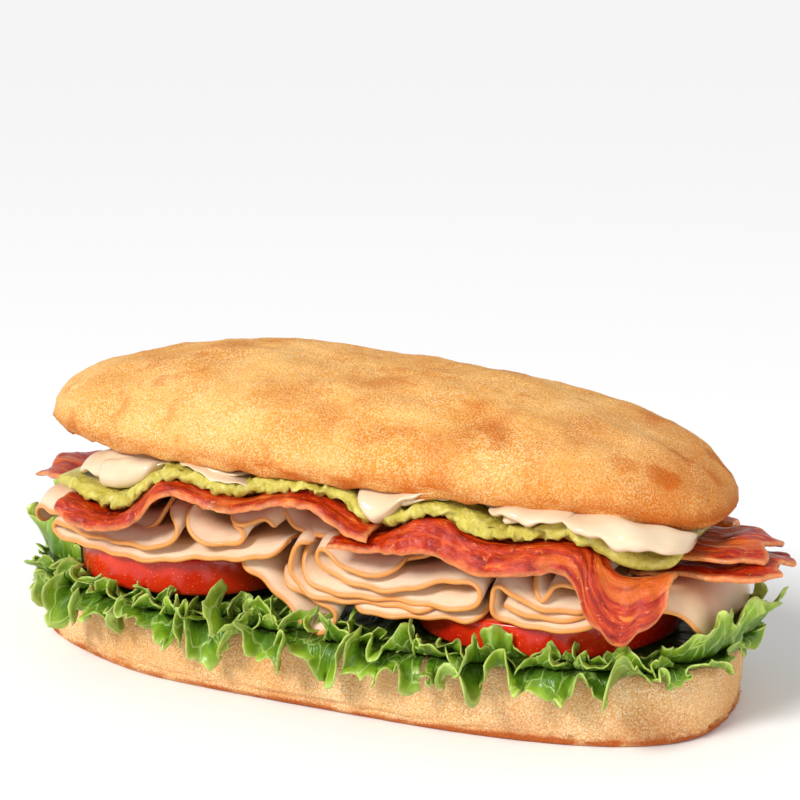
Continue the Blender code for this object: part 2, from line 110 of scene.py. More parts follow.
def oval(x, half_length, half_width, power):
    """Half width of a blunt oval at x."""
    r = np.clip(np.abs(x) / half_length, 0, 1)
    return half_width * (1 - r ** power) ** (1 / power)


def rounder_corner(x, y):
    """The loaf is blunter at the right: draws in the front of its left end."""
    return np.where(y < 0, y * (1 - 0.17 * ease((-x - 50) / 60)), y)


def oval_ring(angle, half_length, half_width, power):
    """Points round a blunt oval."""
    c, s = np.cos(angle), np.sin(angle)
    return (np.sign(c) * np.abs(c) ** (2 / power) * half_length,
            np.sign(s) * np.abs(s) ** (2 / power) * half_width)


# ---------------------------------------------------------------- meshes
def piece(name, verts, faces, material, nodes, layers):
    """Finished food piece: smooth mesh, painted layers, finish, and its place in the frame."""
    mesh = bpy.data.meshes.new(name)
    mesh.from_pydata((np.asarray(verts) * MM + HOME).tolist(), [], faces)
    for label, values in layers.items():
        values = np.asarray(values, float)
        single = values.ndim == 1
        layer = mesh.attributes.new(label, "FLOAT" if single else "FLOAT_VECTOR", "POINT")
        layer.data.foreach_set("value" if single else "vector", values.ravel())
    mesh.polygons.foreach_set("use_smooth", [True] * len(mesh.polygons))
    mesh.update()
    mesh.materials.append(material)
    ob = bpy.data.objects.new(name, mesh)
    bpy.context.scene.collection.objects.link(ob)
    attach(ob, "root")
    if nodes:
        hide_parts(*nodes)


def grid_faces(rows, columns, offset=0, flip=False, wrap=False):
    """Four-cornered faces over a grid of points; wrap joins the last column to the first."""
    r = np.arange(rows - 1)[:, None]
    c = np.arange(columns if wrap else columns - 1)[None, :]
    a = r * columns + c
    b = r * columns + (c + 1) % columns
    quad = np.stack([a, b, b + columns, a + columns], -1).reshape(-1, 4) + offset
    return quad[:, ::-1] if flip else quad


def slice_piece(name, middle, thick, material, nodes, layers=None):
    """Thin slice with rounded rims, from the grid of its middle surface and its thickness in mm."""
    rows, columns = middle.shape[:2]
    along = np.gradient(middle, axis=0)
    across = np.gradient(middle, axis=1)
    normal = np.cross(along, across)
    normal /= np.linalg.norm(normal, axis=-1, keepdims=True) + 1e-9
    step_u = np.linalg.norm(np.diff(middle, axis=0), axis=-1)
    step_v = np.linalg.norm(np.diff(middle, axis=1), axis=-1)
    u = np.vstack([np.zeros((1, columns)), np.cumsum(step_u, 0)])
    v = np.hstack([np.zeros((rows, 1)), np.cumsum(step_v, 1)])
    edge = np.minimum(np.minimum(u, u[-1:] - u), np.minimum(v, v[:, -1:] - v))
    thick = np.broadcast_to(thick, (rows, columns))
    fullness = np.sqrt(1 - (1 - np.clip(edge / (thick * 0.55), 0, 1)) ** 2)
    half = (normal.T * (0.5 * thick * (0.12 + 0.88 * fullness)).T).T
    verts = np.vstack([(middle + half).reshape(-1, 3), (middle - half).reshape(-1, 3)])
    n = rows * columns
    faces = [grid_faces(rows, columns, 0), grid_faces(rows, columns, n, True)]
    rim = np.concatenate([np.arange(columns), np.arange(1, rows) * columns + columns - 1,
                          (rows - 1) * columns + np.arange(columns - 2, -1, -1),
                          np.arange(rows - 2, 0, -1) * columns])
    after = np.roll(rim, -1)
    faces.append(np.stack([rim, rim + n, after + n, after], -1))
    v_mid = v - 0.5 * v[:, -1:]
    lay = np.stack([u, v_mid, edge], -1).reshape(-1, 3)
    painted = {"lay": np.vstack([lay, lay])}
    for label, values in (layers or {}).items():
        flat = np.asarray(values, float).reshape(n, -1).squeeze()
        painted[label] = np.concatenate([flat, flat])
    piece(name, verts, np.vstack(faces).tolist(), material, nodes, painted)


def skinned(name, rings, material, nodes, layers=None):
    """Closed body over rings of equal count; each end closes on the middle of its ring."""
    count, around = rings.shape[:2]
    verts = rings.reshape(-1, 3)
    ends = np.vstack([rings[0].mean(0), rings[-1].mean(0)])
    faces = grid_faces(count, around, 0, True, wrap=True)
    i = np.arange(around)
    j = (i + 1) % around
    n = count * around
    first = np.stack([i, j, np.full(around, n)], -1)
    last = np.stack([j + n - around, i + n - around, np.full(around, n + 1)], -1)
    painted = {}
    for label, values in (layers or {}).items():
        flat = np.asarray(values, float).reshape(n, -1).squeeze()
        tail = [values[0].mean(0), values[-1].mean(0)]
        painted[label] = np.concatenate([flat, tail])
    mesh_faces = faces.tolist() + np.vstack([first, last]).tolist()
    piece(name, np.vstack([verts, ends]), mesh_faces, material, nodes, painted)


def shares(count, length, rim=1.2):
    """Shares 0 to 1 with extra lines close to both ends, to round a rim."""
    close = np.array([0.0, 0.12, 0.35, 0.7]) * rim / length
    inner = np.linspace(rim / length, 1 - rim / length, count)
    return np.concatenate([close, inner, 1 - close[::-1]])


# ---------------------------------------------------------------- finishes
def linear(hexa):
    """sRGB hex to the linear colour a shader wants."""
    values = [int(hexa[i:i + 2], 16) / 255 for i in (1, 3, 5)]
    return tuple(v / 12.92 if v <= 0.04045 else ((v + 0.055) / 1.055) ** 2.4 for v in values) + (1.0,)


def every(size):
    """Pattern scale for features this many millimetres apart, where places are in metres."""
    return 1 / (size * MM)


def put(tree, kind, sockets=None, stops=None, **settings):
    """Adds one node: a socket takes a number, a hex colour or another node's output.

    stops are a ramp's (position, hex colour) pairs.
    """
    node = tree.nodes.new("ShaderNode" + kind)
    for key, value in settings.items():
        setattr(node, key, value)
    for socket, value in (sockets or {}).items():
        if isinstance(value, bpy.types.NodeSocket):
            tree.links.new(value, node.inputs[socket])
        else:
            node.inputs[socket].default_value = linear(value) if isinstance(value, str) else value
    for number, (at, colour) in enumerate(stops or []):
        ramp = node.color_ramp
        if number >= len(ramp.elements):
            ramp.elements.new(at)
        ramp.elements[number].position = at
        ramp.elements[number].color = linear(colour)
    return node


def finish(name, surface):
    """New material with its surface values set, its shader, and places in the object's metres."""
    mat = bpy.data.materials.new(name)
    mat.use_nodes = True
    tree = mat.node_tree
    shader = tree.nodes["Principled BSDF"]
    for socket, value in surface.items():
        shader.inputs[socket].default_value = value
    return mat, tree, shader, put(tree, "TexCoord").outputs["Object"]


def crust(name, pale, tan, brown, flour):
    """Baked wheat crust: matt, sandy with flour, browned in freckles and where the oven caught it; the same
    brown also paints shade.
    """
    mat, tree, shader, place = finish(name, {"Roughness": 0.82, "Specular IOR Level": 0.25,
            "Subsurface Weight": 0.05, "Subsurface Radius": (0.004, 0.002, 0.001)})
    broad = put(tree, "TexNoise", {"Scale": every(22.2), "Detail": 5, "Roughness": 0.6, "Vector": place})
    # pores of 0.2 mm and flour grains of 0.1 mm are too fine to show, so both are drawn coarser
    grain = put(tree, "TexNoise", {"Scale": every(0.385), "Detail": 2, "Roughness": 0.6,
            "Vector": place})
    sand = put(tree, "TexVoronoi", {"Scale": every(0.667), "Randomness": 1.0, "Vector": place})
    dusty = put(tree, "TexNoise", {"Scale": every(14.3), "Detail": 3, "Roughness": 0.55, "Distortion": 0.4,
            "Vector": place})
    # this layer holds real browning together with painted shade on the lid's right end
    browning_and_shade = put(tree, "Attribute", attribute_name="browning_and_shade")
    tone = put(tree, "ValToRGB", {"Fac": broad.outputs["Fac"]}, stops=[(0.36, tan), (0.62, pale)])
    baked = put(tree, "Mix", {0: browning_and_shade.outputs["Fac"], 6: tone.outputs["Color"], 7: brown},
            data_type="RGBA").outputs[2]
    speck = put(tree, "MapRange", {"From Min": 0.25, "From Max": 0.6, "To Min": 0.95, "To Max": 0.0,
            "Value": sand.outputs["Distance"]})
    patch = put(tree, "MapRange", {"From Min": 0.36, "From Max": 0.66, "To Min": 0.45, "To Max": 1.0,
            "Value": dusty.outputs["Fac"]})
    floury = put(tree, "Math", {0: speck.outputs[0], 1: patch.outputs[0]}, operation="MULTIPLY")
    kept = put(tree, "Math", {0: browning_and_shade.outputs["Fac"], 1: -0.88, 2: 1.0}, operation="MULTIPLY_ADD")
    dust = put(tree, "Math", {0: floury.outputs[0], 1: kept.outputs[0]}, operation="MULTIPLY",
            use_clamp=True)
    dusted = put(tree, "Mix", {0: dust.outputs[0], 6: baked, 7: flour}, data_type="RGBA").outputs[2]
    pit = put(tree, "MapRange", {"From Min": 0.34, "From Max": 0.47, "To Min": 0.6, "To Max": 0.0,
            "Value": grain.outputs["Fac"]})
    final = put(tree, "Mix", {0: pit.outputs[0], 6: dusted, 7: brown}, data_type="RGBA").outputs[2]
    tree.links.new(final, shader.inputs["Base Color"])
    rise = put(tree, "Math", {0: sand.outputs["Distance"], 1: -0.7, 2: grain.outputs["Fac"]},
            operation="MULTIPLY_ADD")
    bump = put(tree, "Bump", {"Strength": 0.75, "Distance": 0.0005, "Height": rise.outputs[0]})
    tree.links.new(bump.outputs["Normal"], shader.inputs["Normal"])
    return mat


def lettuce_leaf():
    """Fresh green leaf: waxy, paler and yellower at the frilled edge, pale veins branching to it."""
    mat, tree, shader, place = finish("fresh_lettuce_leaf", {"Roughness": 0.3, "Specular IOR Level": 0.36,
            "Subsurface Weight": 0.06, "Subsurface Radius": (0.0015, 0.003, 0.0006)})
    lay = put(tree, "Attribute", attribute_name="lay")
    edge = put(tree, "Attribute", attribute_name="out")
    mottle = put(tree, "TexNoise", {"Scale": every(6.25), "Detail": 4, "Roughness": 0.6, "Vector": place})
    # the lay is in mm: veins run outwards about 3.5 mm apart, with a net a third as wide between
    stretch = put(tree, "Mapping", {"Scale": (1 / 5.88, 1 / 14.3, 0.0), "Vector": lay.outputs["Vector"]})
    wander = put(tree, "TexNoise", {"Scale": 3.0, "Detail": 2, "Vector": stretch.outputs[0]})
    bent = put(tree, "Mix", {0: 0.12, 6: stretch.outputs[0], 7: wander.outputs["Color"]},
            data_type="RGBA").outputs[2]
    veins = put(tree, "TexVoronoi", {"Scale": 5.88 / 3.46, "Vector": bent}, feature="DISTANCE_TO_EDGE")
    fine = put(tree, "TexVoronoi", {"Scale": 5.88 / 1.18, "Vector": bent}, feature="DISTANCE_TO_EDGE")
    vein = put(tree, "MapRange", {"From Min": 0.0, "From Max": 0.055, "To Min": 0.8, "To Max": 0.0,
            "Value": veins.outputs["Distance"]})
    veinlet = put(tree, "MapRange", {"From Min": 0.0, "From Max": 0.07, "To Min": 0.3, "To Max": 0.0,
            "Value": fine.outputs["Distance"]})
    green = put(tree, "ValToRGB", {"Fac": edge.outputs["Fac"]},
            stops=[(0.0, "#34480f"), (0.25, "#3c5a10"), (0.55, "#557e14"), (0.85, "#8cae24"),
            (1.0, "#c4d66c")])
    mottled = put(tree, "Mix", {0: 0.5, 6: green.outputs["Color"], 7: "#38560e"},
            data_type="RGBA").outputs[2]
    spot = put(tree, "MapRange", {"From Min": 0.4, "From Max": 0.65, "Value": mottle.outputs["Fac"]})
    body = put(tree, "Mix", {0: spot.outputs[0], 6: green.outputs["Color"], 7: mottled},
            data_type="RGBA").outputs[2]
    shown = put(tree, "Math", {0: edge.outputs["Fac"], 1: 0.25}, operation="ADD", use_clamp=True)
    veiny = put(tree, "Math", {0: vein.outputs[0], 1: shown.outputs[0]}, operation="MULTIPLY")
    netted = put(tree, "Math", {0: veinlet.outputs[0], 1: shown.outputs[0]}, operation="MULTIPLY")
    small = put(tree, "Mix", {0: netted.outputs[0], 6: body, 7: "#93b83e"}, data_type="RGBA").outputs[2]
    final = put(tree, "Mix", {0: veiny.outputs[0], 6: small, 7: "#b4cc6c"}, data_type="RGBA").outputs[2]
    tree.links.new(final, shader.inputs["Base Color"])
    ridge = put(tree, "Math", {0: vein.outputs[0], 1: -1.0, 2: mottle.outputs["Fac"]},
            operation="MULTIPLY_ADD")
    bump = put(tree, "Bump", {"Strength": 0.5, "Distance": 0.0006, "Height": ridge.outputs[0]})
    tree.links.new(bump.outputs["Normal"], shader.inputs["Normal"])
    return mat


def tomato_skin():
    """Ripe tomato: wet saturated red skin with tiny pale freckles over juicy flesh."""
    mat, tree, shader, place = finish("ripe_tomato_slice", {"Roughness": 0.18, "Specular IOR Level": 0.45,
            "Subsurface Weight": 0.08, "Subsurface Radius": (0.006, 0.0015, 0.0008)})
    rim = put(tree, "Attribute", attribute_name="skin")
    broad = put(tree, "TexNoise", {"Scale": every(16.7), "Detail": 3, "Vector": place})
    tone = put(tree, "ValToRGB", {"Fac": broad.outputs["Fac"]},
            stops=[(0.35, "#c41a0a"), (0.65, "#da3510")])
    flesh = put(tree, "ValToRGB", {"Fac": broad.outputs["Fac"]},
            stops=[(0.35, "#d8452c"), (0.65, "#e9714a")])
    freckle = put(tree, "TexVoronoi", {"Scale": every(1.32), "Randomness": 1.0, "Vector": place})
    dot = put(tree, "MapRange", {"From Min": 0.08, "From Max": 0.2, "To Min": 0.8, "To Max": 0.0,
            "Value": freckle.outputs["Distance"]})
    red = put(tree, "Mix", {0: rim.outputs["Fac"], 6: flesh.outputs["Color"], 7: tone.outputs["Color"]},
            data_type="RGBA").outputs[2]
    final = put(tree, "Mix", {0: dot.outputs[0], 6: red, 7: "#f08a4e"}, data_type="RGBA").outputs[2]
    tree.links.new(final, shader.inputs["Base Color"])
    wet = put(tree, "Bump", {"Strength": 0.3, "Distance": 0.0008, "Height": broad.outputs["Fac"]})
    tree.links.new(wet.outputs["Normal"], shader.inputs["Normal"])
    return mat


def roast_turkey():
    """Carved roast turkey: juicy cream-pink meat, with a golden roasted rim and painted shade further in
    from the rim.
    """
    mat, tree, shader, place = finish("sliced_roast_turkey",
            {"Roughness": 0.36, "Specular IOR Level": 0.4, "Subsurface Weight": 0.2,
            "Subsurface Radius": (0.004, 0.0024, 0.0014)})
    lay = put(tree, "Attribute", attribute_name="lay")
    parts = put(tree, "SeparateXYZ", {0: lay.outputs["Vector"]})
    blush = put(tree, "TexNoise", {"Scale": every(18.2), "Detail": 4, "Roughness": 0.6,
            "Vector": place})
    # the lay is in mm: meat fibres 4 mm long and 0.6 mm wide
    fibre_space = put(tree, "Mapping", {"Scale": (1 / 4.0, 1 / 0.625, 1.0),
            "Vector": lay.outputs["Vector"]})
    fibre = put(tree, "TexNoise", {"Scale": 1.0, "Detail": 4, "Roughness": 0.65,
            "Vector": fibre_space.outputs[0]})
    meat = put(tree, "ValToRGB", {"Fac": blush.outputs["Fac"]},
            stops=[(0.3, "#f0cba4"), (0.55, "#f5dabb"), (0.8, "#fae9d0")])
    streaked = put(tree, "Mix", {0: 0.4, 6: meat.outputs["Color"], 7: "#dea276"},
            data_type="RGBA").outputs[2]
    grained = put(tree, "MapRange", {"From Min": 0.5, "From Max": 0.75, "To Max": 0.7,
            "Value": fibre.outputs["Fac"]})
    # painted shade: the meat turns a darker peach-brown from 3.5 to 13 mm in from the rim, where the folds
    # lie in shade
    painted_cavity_shade = put(tree, "MapRange", {"From Min": 3.5, "From Max": 13.0, "To Max": 0.8,
            "Value": parts.outputs["Z"]})
    outer = put(tree, "Mix", {0: grained.outputs[0], 6: meat.outputs["Color"], 7: streaked},
            data_type="RGBA").outputs[2]
    body = put(tree, "Mix", {0: painted_cavity_shade.outputs[0], 6: outer, 7: "#dc9c68"}, data_type="RGBA").outputs[2]
    wobble = put(tree, "Math", {0: blush.outputs["Fac"], 1: 1.6}, operation="MULTIPLY")
    inward = put(tree, "Math", {0: parts.outputs["Z"], 1: wobble.outputs[0]}, operation="DIVIDE")
    roasted = put(tree, "MapRange", {"From Min": 0.1, "From Max": 2.6, "To Min": 0.95, "To Max": 0.0,
            "Value": inward.outputs[0]}, interpolation_type="SMOOTHSTEP")
    final = put(tree, "Mix", {0: roasted.outputs[0], 6: body, 7: "#e0933f"}, data_type="RGBA").outputs[2]
    tree.links.new(final, shader.inputs["Base Color"])
    bump = put(tree, "Bump", {"Strength": 0.25, "Distance": 0.0004, "Height": fibre.outputs["Fac"]})
    tree.links.new(bump.outputs["Normal"], shader.inputs["Normal"])
    return mat


def fried_bacon():
    """Fried streaky bacon: red lean and golden fat in bands along the rasher, glossy with oil, with painted
    glints in small bright specks.
    """
    mat, tree, shader, place = finish("fried_streaky_bacon",
            {"Roughness": 0.17, "Specular IOR Level": 0.42, "Subsurface Weight": 0.04,
            "Subsurface Radius": (0.003, 0.001, 0.0005)})
    lay = put(tree, "Attribute", attribute_name="lay")
    parts = put(tree, "SeparateXYZ", {0: lay.outputs["Vector"]})
    # the lay is in mm: bands of fat 33 mm long and 6.7 mm wide, streaks in the lean 7.7 mm by 2 mm
    long_space = put(tree, "Mapping", {"Scale": (1 / 33.3, 1 / 6.67, 0.0),
            "Vector": lay.outputs["Vector"]})
    fine_space = put(tree, "Mapping", {"Scale": (1 / 7.7, 1 / 2.0, 0.0), "Vector": lay.outputs["Vector"]})
    band = put(tree, "TexNoise", {"Scale": 1.0, "Detail": 3, "Roughness": 0.55, "Distortion": 0.6,
            "Vector": long_space.outputs[0]})
    streak = put(tree, "TexNoise", {"Scale": 1.0, "Detail": 5, "Roughness": 0.7, "Distortion": 0.5,
            "Vector": fine_space.outputs[0]})
    crisp = put(tree, "TexNoise", {"Scale": every(2.38), "Detail": 4, "Roughness": 0.7, "Vector": place})
    lean = put(tree, "ValToRGB", {"Fac": streak.outputs["Fac"]},
            stops=[(0.32, "#700c04"), (0.45, "#a82004"), (0.58, "#c83c08"), (0.74, "#ec8a34")])
    fat_share = put(tree, "MapRange", {"From Min": 0.55, "From Max": 0.64, "To Max": 0.75,
            "Value": band.outputs["Fac"]})
    fatty = put(tree, "Mix", {0: fat_share.outputs[0], 6: lean.outputs["Color"], 7: "#da6e26"},
            data_type="RGBA").outputs[2]
    rim = put(tree, "MapRange", {"From Min": 0.2, "From Max": 1.7, "To Min": 0.95, "To Max": 0.0,
            "Value": parts.outputs["Z"]})
    frayed = put(tree, "Math", {0: rim.outputs[0], 1: crisp.outputs["Fac"]}, operation="MULTIPLY")
    edged = put(tree, "Mix", {0: frayed.outputs[0], 6: fatty, 7: "#f5b06a"}, data_type="RGBA").outputs[2]
    # painted highlights: small bright orange specks that stand in for oily glints
    painted_sparkle = put(tree, "MapRange", {"From Min": 0.62, "From Max": 0.7, "To Max": 0.65,
            "Value": crisp.outputs["Fac"]})
    final = put(tree, "Mix", {0: painted_sparkle.outputs[0], 6: edged, 7: "#f5a860"}, data_type="RGBA").outputs[2]
    tree.links.new(final, shader.inputs["Base Color"])
    relief = put(tree, "Math", {0: streak.outputs["Fac"], 1: 1.2, 2: crisp.outputs["Fac"]},
            operation="MULTIPLY_ADD")
    bump = put(tree, "Bump", {"Strength": 0.6, "Distance": 0.001, "Height": relief.outputs[0]})
    tree.links.new(bump.outputs["Normal"], shader.inputs["Normal"])
    return mat


def mashed_avocado():
    """Roughly mashed avocado: wet yellow-green pulp with paler lumps."""
    mat, tree, shader, place = finish("mashed_avocado", {"Roughness": 0.14, "Specular IOR Level": 0.65,
            "Subsurface Weight": 0.12, "Subsurface Radius": (0.002, 0.002, 0.0006)})
    pulp = put(tree, "TexNoise", {"Scale": every(2.38), "Detail": 6, "Roughness": 0.72, "Distortion": 0.6,
            "Vector": place})
    broad = put(tree, "TexNoise", {"Scale": every(11.1), "Detail": 3, "Vector": place})
    tone = put(tree, "ValToRGB", {"Fac": pulp.outputs["Fac"]},
            stops=[(0.28, "#a89a2a"), (0.42, "#d0c048"), (0.58, "#e2d46a"), (0.74, "#f2eab0")])
    deep = put(tree, "Mix", {0: 0.35, 6: tone.outputs["Color"], 7: "#a89a1e"},
            data_type="RGBA").outputs[2]
    share = put(tree, "MapRange", {"From Min": 0.45, "From Max": 0.65, "Value": broad.outputs["Fac"]})
    final = put(tree, "Mix", {0: share.outputs[0], 6: tone.outputs["Color"], 7: deep},
            data_type="RGBA").outputs[2]
    tree.links.new(final, shader.inputs["Base Color"])
    bump = put(tree, "Bump", {"Strength": 0.75, "Distance": 0.0014, "Height": pulp.outputs["Fac"]})
    tree.links.new(bump.outputs["Normal"], shader.inputs["Normal"])
    return mat


def whisked_mayonnaise():
    """Egg mayonnaise: thick, smooth, ivory and glossy."""
    mat, tree, shader, place = finish("whisked_mayonnaise",
            {"Roughness": 0.13, "Specular IOR Level": 0.65, "Subsurface Weight": 0.2,
            "Subsurface Radius": (0.003, 0.002, 0.0012)})
    swirl = put(tree, "TexNoise", {"Scale": every(13.3), "Detail": 2, "Distortion": 0.6, "Vector": place})
    tone = put(tree, "ValToRGB", {"Fac": swirl.outputs["Fac"]},
            stops=[(0.3, "#dcc09c"), (0.6, "#e8cfae")])
    tree.links.new(tone.outputs["Color"], shader.inputs["Base Color"])
    bump = put(tree, "Bump", {"Strength": 0.25, "Distance": 0.001, "Height": swirl.outputs["Fac"]})
    tree.links.new(bump.outputs["Normal"], shader.inputs["Normal"])
    return mat


crust_top = crust("baked_top_crust", "#f5ba66", "#e2963a", "#c2600e", "#fedca2")
crust_bottom = crust("baked_bottom_crust", "#f2c286", "#e7aa62", "#b05518", "#fde4b8")
leaf = lettuce_leaf()
tomato = tomato_skin()
turkey = roast_turkey()
bacon = fried_bacon()
avocado = mashed_avocado()
mayo = whisked_mayonnaise()


# ---------------------------------------------------------------- the roll
BASE_CUT = 21.0
# outline of the bottom half from the base up: share of the plan, height
BASE_SIDE = [(0.925, 0.0), (0.96, 0.25), (0.978, 1.0), (0.982, 2.4), (0.985, 3.6), (0.993, 5.4),
             (1.0, 9.5), (1.0, 13), (0.992, 17), (0.976, 20), (0.955, 20.9), (0.9, BASE_CUT),
             (0.6, BASE_CUT)]
# height of the lid's cut rim along the loaf
LID_CUT = [(-108, 67.4), (-80, 66.9), (-50, 66.7), (0, 66.3), (40, 65.9), (60, 64.6), (78, 63.6),
           (90, 61.2), (100, 58.6), (108, 57.0)]
# outline of the lid's underside from the hollow to the rim: share of the plan, lift over the cut
LID_UNDERSIDE = [(0.45, 4.2), (0.72, 3.4), (0.88, 1.6), (0.93, 0.5), (0.955, 0.0), (0.972, 0.4),
                 (0.984, 1.3), (0.993, 2.4)]
LID_EDGE = 3.6
LID_SHIFT = 1.6
LID_TILT = (71.4, 61.8)
LID_TILT_SPAN = 108.5
LID_RISE = 26.3
# browned patches on the lid: along, across, radius, strength; the two near the right end, at 72 and 64
# along, are partly browning and partly painted shade of that end
TOASTED = [(49, -28, 7.5, 0.85), (5, -36, 6, 0.5), (-45, -2, 8, 0.55), (28, -24, 6, 0.4),
           (72, -20, 9, 0.34), (64, -34, 7, 0.4), (12, -18, 7, 0.4), (-12, -30, 5, 0.3),
           (38, -40, 6, 0.6), (-70, 12, 9, 0.5), (-20, 22, 10, 0.5), (34, 24, 9, 0.5), (80, 14, 8, 0.5)]


def bake_bottom_roll():
    """Bottom half: flat base with a crisp lip, sides that swell, flat cut face."""
    angle = np.linspace(0, 2 * math.pi, 300, endpoint=False)
    rings = []
    browning_and_shade = []
    for scale, z in rounded(BASE_SIDE, 6):
        x, y = oval_ring(angle, *ROLL_PLAN)
        y = rounder_corner(x, y)
        inset = (1 - scale) * ROLL_PLAN[1]
        k = 1 - inset / np.hypot(x, y) if scale > 0.7 else np.full_like(x, scale)
        p = np.stack([x * k, y * k, np.full_like(x, z)], -1)
        swell = 0.55 * lumps(p, 34, 3) + 0.16 * lumps(p, 6, 4, 3)
        crease = -0.9 * math.exp(-((z - 2.9) / 0.7) ** 2) * (0.5 + 0.5 * lumps(p, 12, 5))
        away = np.clip(z / 4, 0, 1)
        ragged = 0.55 * lumps(p, 3.4, 8, 3) * math.exp(-((z - 2.6) / 1.3) ** 2)
        out = (swell * away + crease + ragged) * np.clip((BASE_CUT - z) / 2, 0, 1)
        p[:, :2] *= (1 + out / np.hypot(p[:, 0], p[:, 1]))[:, None]
        rings.append(p)
        lip = 1.3 * math.exp(-((z - 1.0) / 1.3) ** 2) * (0.75 + 0.3 * lumps(p, 9, 6))
        under = 0.35 * np.clip((z - 15) / 6, 0, 1)
        end = 0.25 * ease((p[:, 0] - 45) / 30) * ease((12 - z) / 8)
        browning_and_shade.append(np.clip(lip + under + end + 0.18 * lumps(p, 30, 7) - 0.05, 0, 1))
    skinned("bottom_roll", np.array(rings), crust_bottom, ["bun_bottom"],
            {"browning_and_shade": np.array(browning_and_shade)})


def lid_ring(angle, share):
    """One level of the lid: a blunt oval whose back corners are pulled in a little."""
    x, y = oval_ring(angle, *LID_PLAN)
    x, y = x * share, y * share
    pull = 0.13 * ease((-x - 45) / 55) + 0.07 * ease((x - 45) / 55)
    return x + LID_SHIFT, np.where(y > 0, y * (1 - pull), y)


def lid_surface(x, share):
    """Height of the dome; share is 1 at its edge and 0 along its middle."""
    left, right = LID_TILT
    tilt = left + (right - left) * (x / LID_TILT_SPAN + 1) / 2
    edge = height(LID_CUT, x) + LID_EDGE
    rise = LID_RISE - 1.6 * ease((-x - 50) / 55)
    return tilt + (edge - tilt) * share ** 6 + rise * np.clip(1 - share ** 2.2, 0, None) ** (1 / 2.2)


def bake_lid():
    """Top half: long dome with a ragged cut rim, hollowed where it sits on the filling."""
    angle = np.linspace(0, 2 * math.pi, 340, endpoint=False)
    rings = []
    browning_and_shade = []
    turns = np.concatenate([[0.0], np.linspace(0.03, 1.0, 62) ** 0.85]) * math.pi / 2 * 0.992
    for scale, lift in LID_UNDERSIDE:
        x, y = lid_ring(angle, scale)
        p = np.stack([x, y, height(LID_CUT, x) + lift], -1)
        ragged = (0.9 * lumps(p * (1, 1, 0), 11, 11, 3)) * math.exp(-((scale - 0.95) / 0.03) ** 2)
        p[:, 2] -= ragged * 0.7
        rings.append(p)
        browning_and_shade.append(np.clip(0.55 + 0.3 * lumps(p, 14, 12), 0, 1))
    for turn in turns:
        r = math.cos(turn)
        x, y = lid_ring(angle, r)
        p = np.stack([x, y, lid_surface(x, r)], -1)
        up = np.full_like(x, math.sin(turn) / 30)
        outward = np.stack([x / LID_TILT_SPAN ** 2, y / LID_PLAN[1] ** 2, up], -1)
        outward /= np.linalg.norm(outward, axis=-1, keepdims=True)
        low = np.clip((p[:, 2] - height(LID_CUT, p[:, 0]) - LID_EDGE) / 6, 0, 1)
        rough = 0.55 * lumps(p, 42, 13) + 0.22 * lumps(p, 13, 14) + 0.07 * lumps(p, 4, 15, 3)
        bubbles = np.clip(lumps(p, 7, 16, 2) - 0.45, 0, 1) * (1 - low) * 0.9
        p = p + outward * (rough * (0.35 + 0.65 * low) + bubbles)[:, None]
        rings.append(p)
        mark = np.zeros(len(x))
        for sx, sy, size, strength in TOASTED:
            near = np.hypot(p[:, 0] - sx, (p[:, 1] - sy) * 1.1)
            near = near * (1 + 0.3 * lumps(p, 9, 17))
            mark = np.maximum(mark, strength * np.exp(-(near / size) ** 2))
        mark = np.maximum(mark, 0.34 * ease((lumps(p, 12, 19, 3) - 0.75) / 0.5))
        rim_brown = 0.5 * (1 - low) ** 2
        # painted shade: both ends are a little browner, but the right end is darkened much more, less so on
        # top, as if the light fell off there
        end = 0.55 * ease((p[:, 0] - 56) / 50) + 0.12 * ease((-p[:, 0] - 80) / 30)
        end = end * (1 - 0.5 * math.sin(turn))
        browning_and_shade.append(np.clip(mark + rim_brown + end + 0.1 * lumps(p, 26, 18), 0, 1))
    skinned("lid_roll", np.array(rings), crust_top, ["bun_top"], {"browning_and_shade": np.array(browning_and_shade)})


# ---------------------------------------------------------------- tomato
def cut_tomato(name, node, centre, low, high, slope):
    """A thick round slice lying flat, its skin bulging between the two cut faces."""
    angle = np.linspace(0, 2 * math.pi, 180, endpoint=False)
    profile = [(34, 0.0), (36.6, 0.006), (37.4, 0.03), (37.85, 0.1), (38, 0.22), (38.15, 0.5), (38, 0.8),
               (37.85, 0.9), (37.4, 0.97), (36.6, 0.995), (34, 1.0), (20, 1.0)]
    rings = []
    skin = []
    for radius, level in profile:
        wobble = radius + 0.5 * np.sin(5 * angle + centre)
        x = centre + wobble * np.cos(angle)
        y = -3.0 + wobble * np.sin(angle)
        z = low + (high + slope * (x - centre) - low) * level
        rings.append(np.stack([x, y, z], -1))
        skin.append(np.full(len(x), float(radius > 37.2)))
    skinned(name, np.array(rings), tomato, [node], {"skin": np.array(skin)})


# ---------------------------------------------------------------- turkey
TURKEY_THICK = 1.35
TURKEY_REACH = 43.0
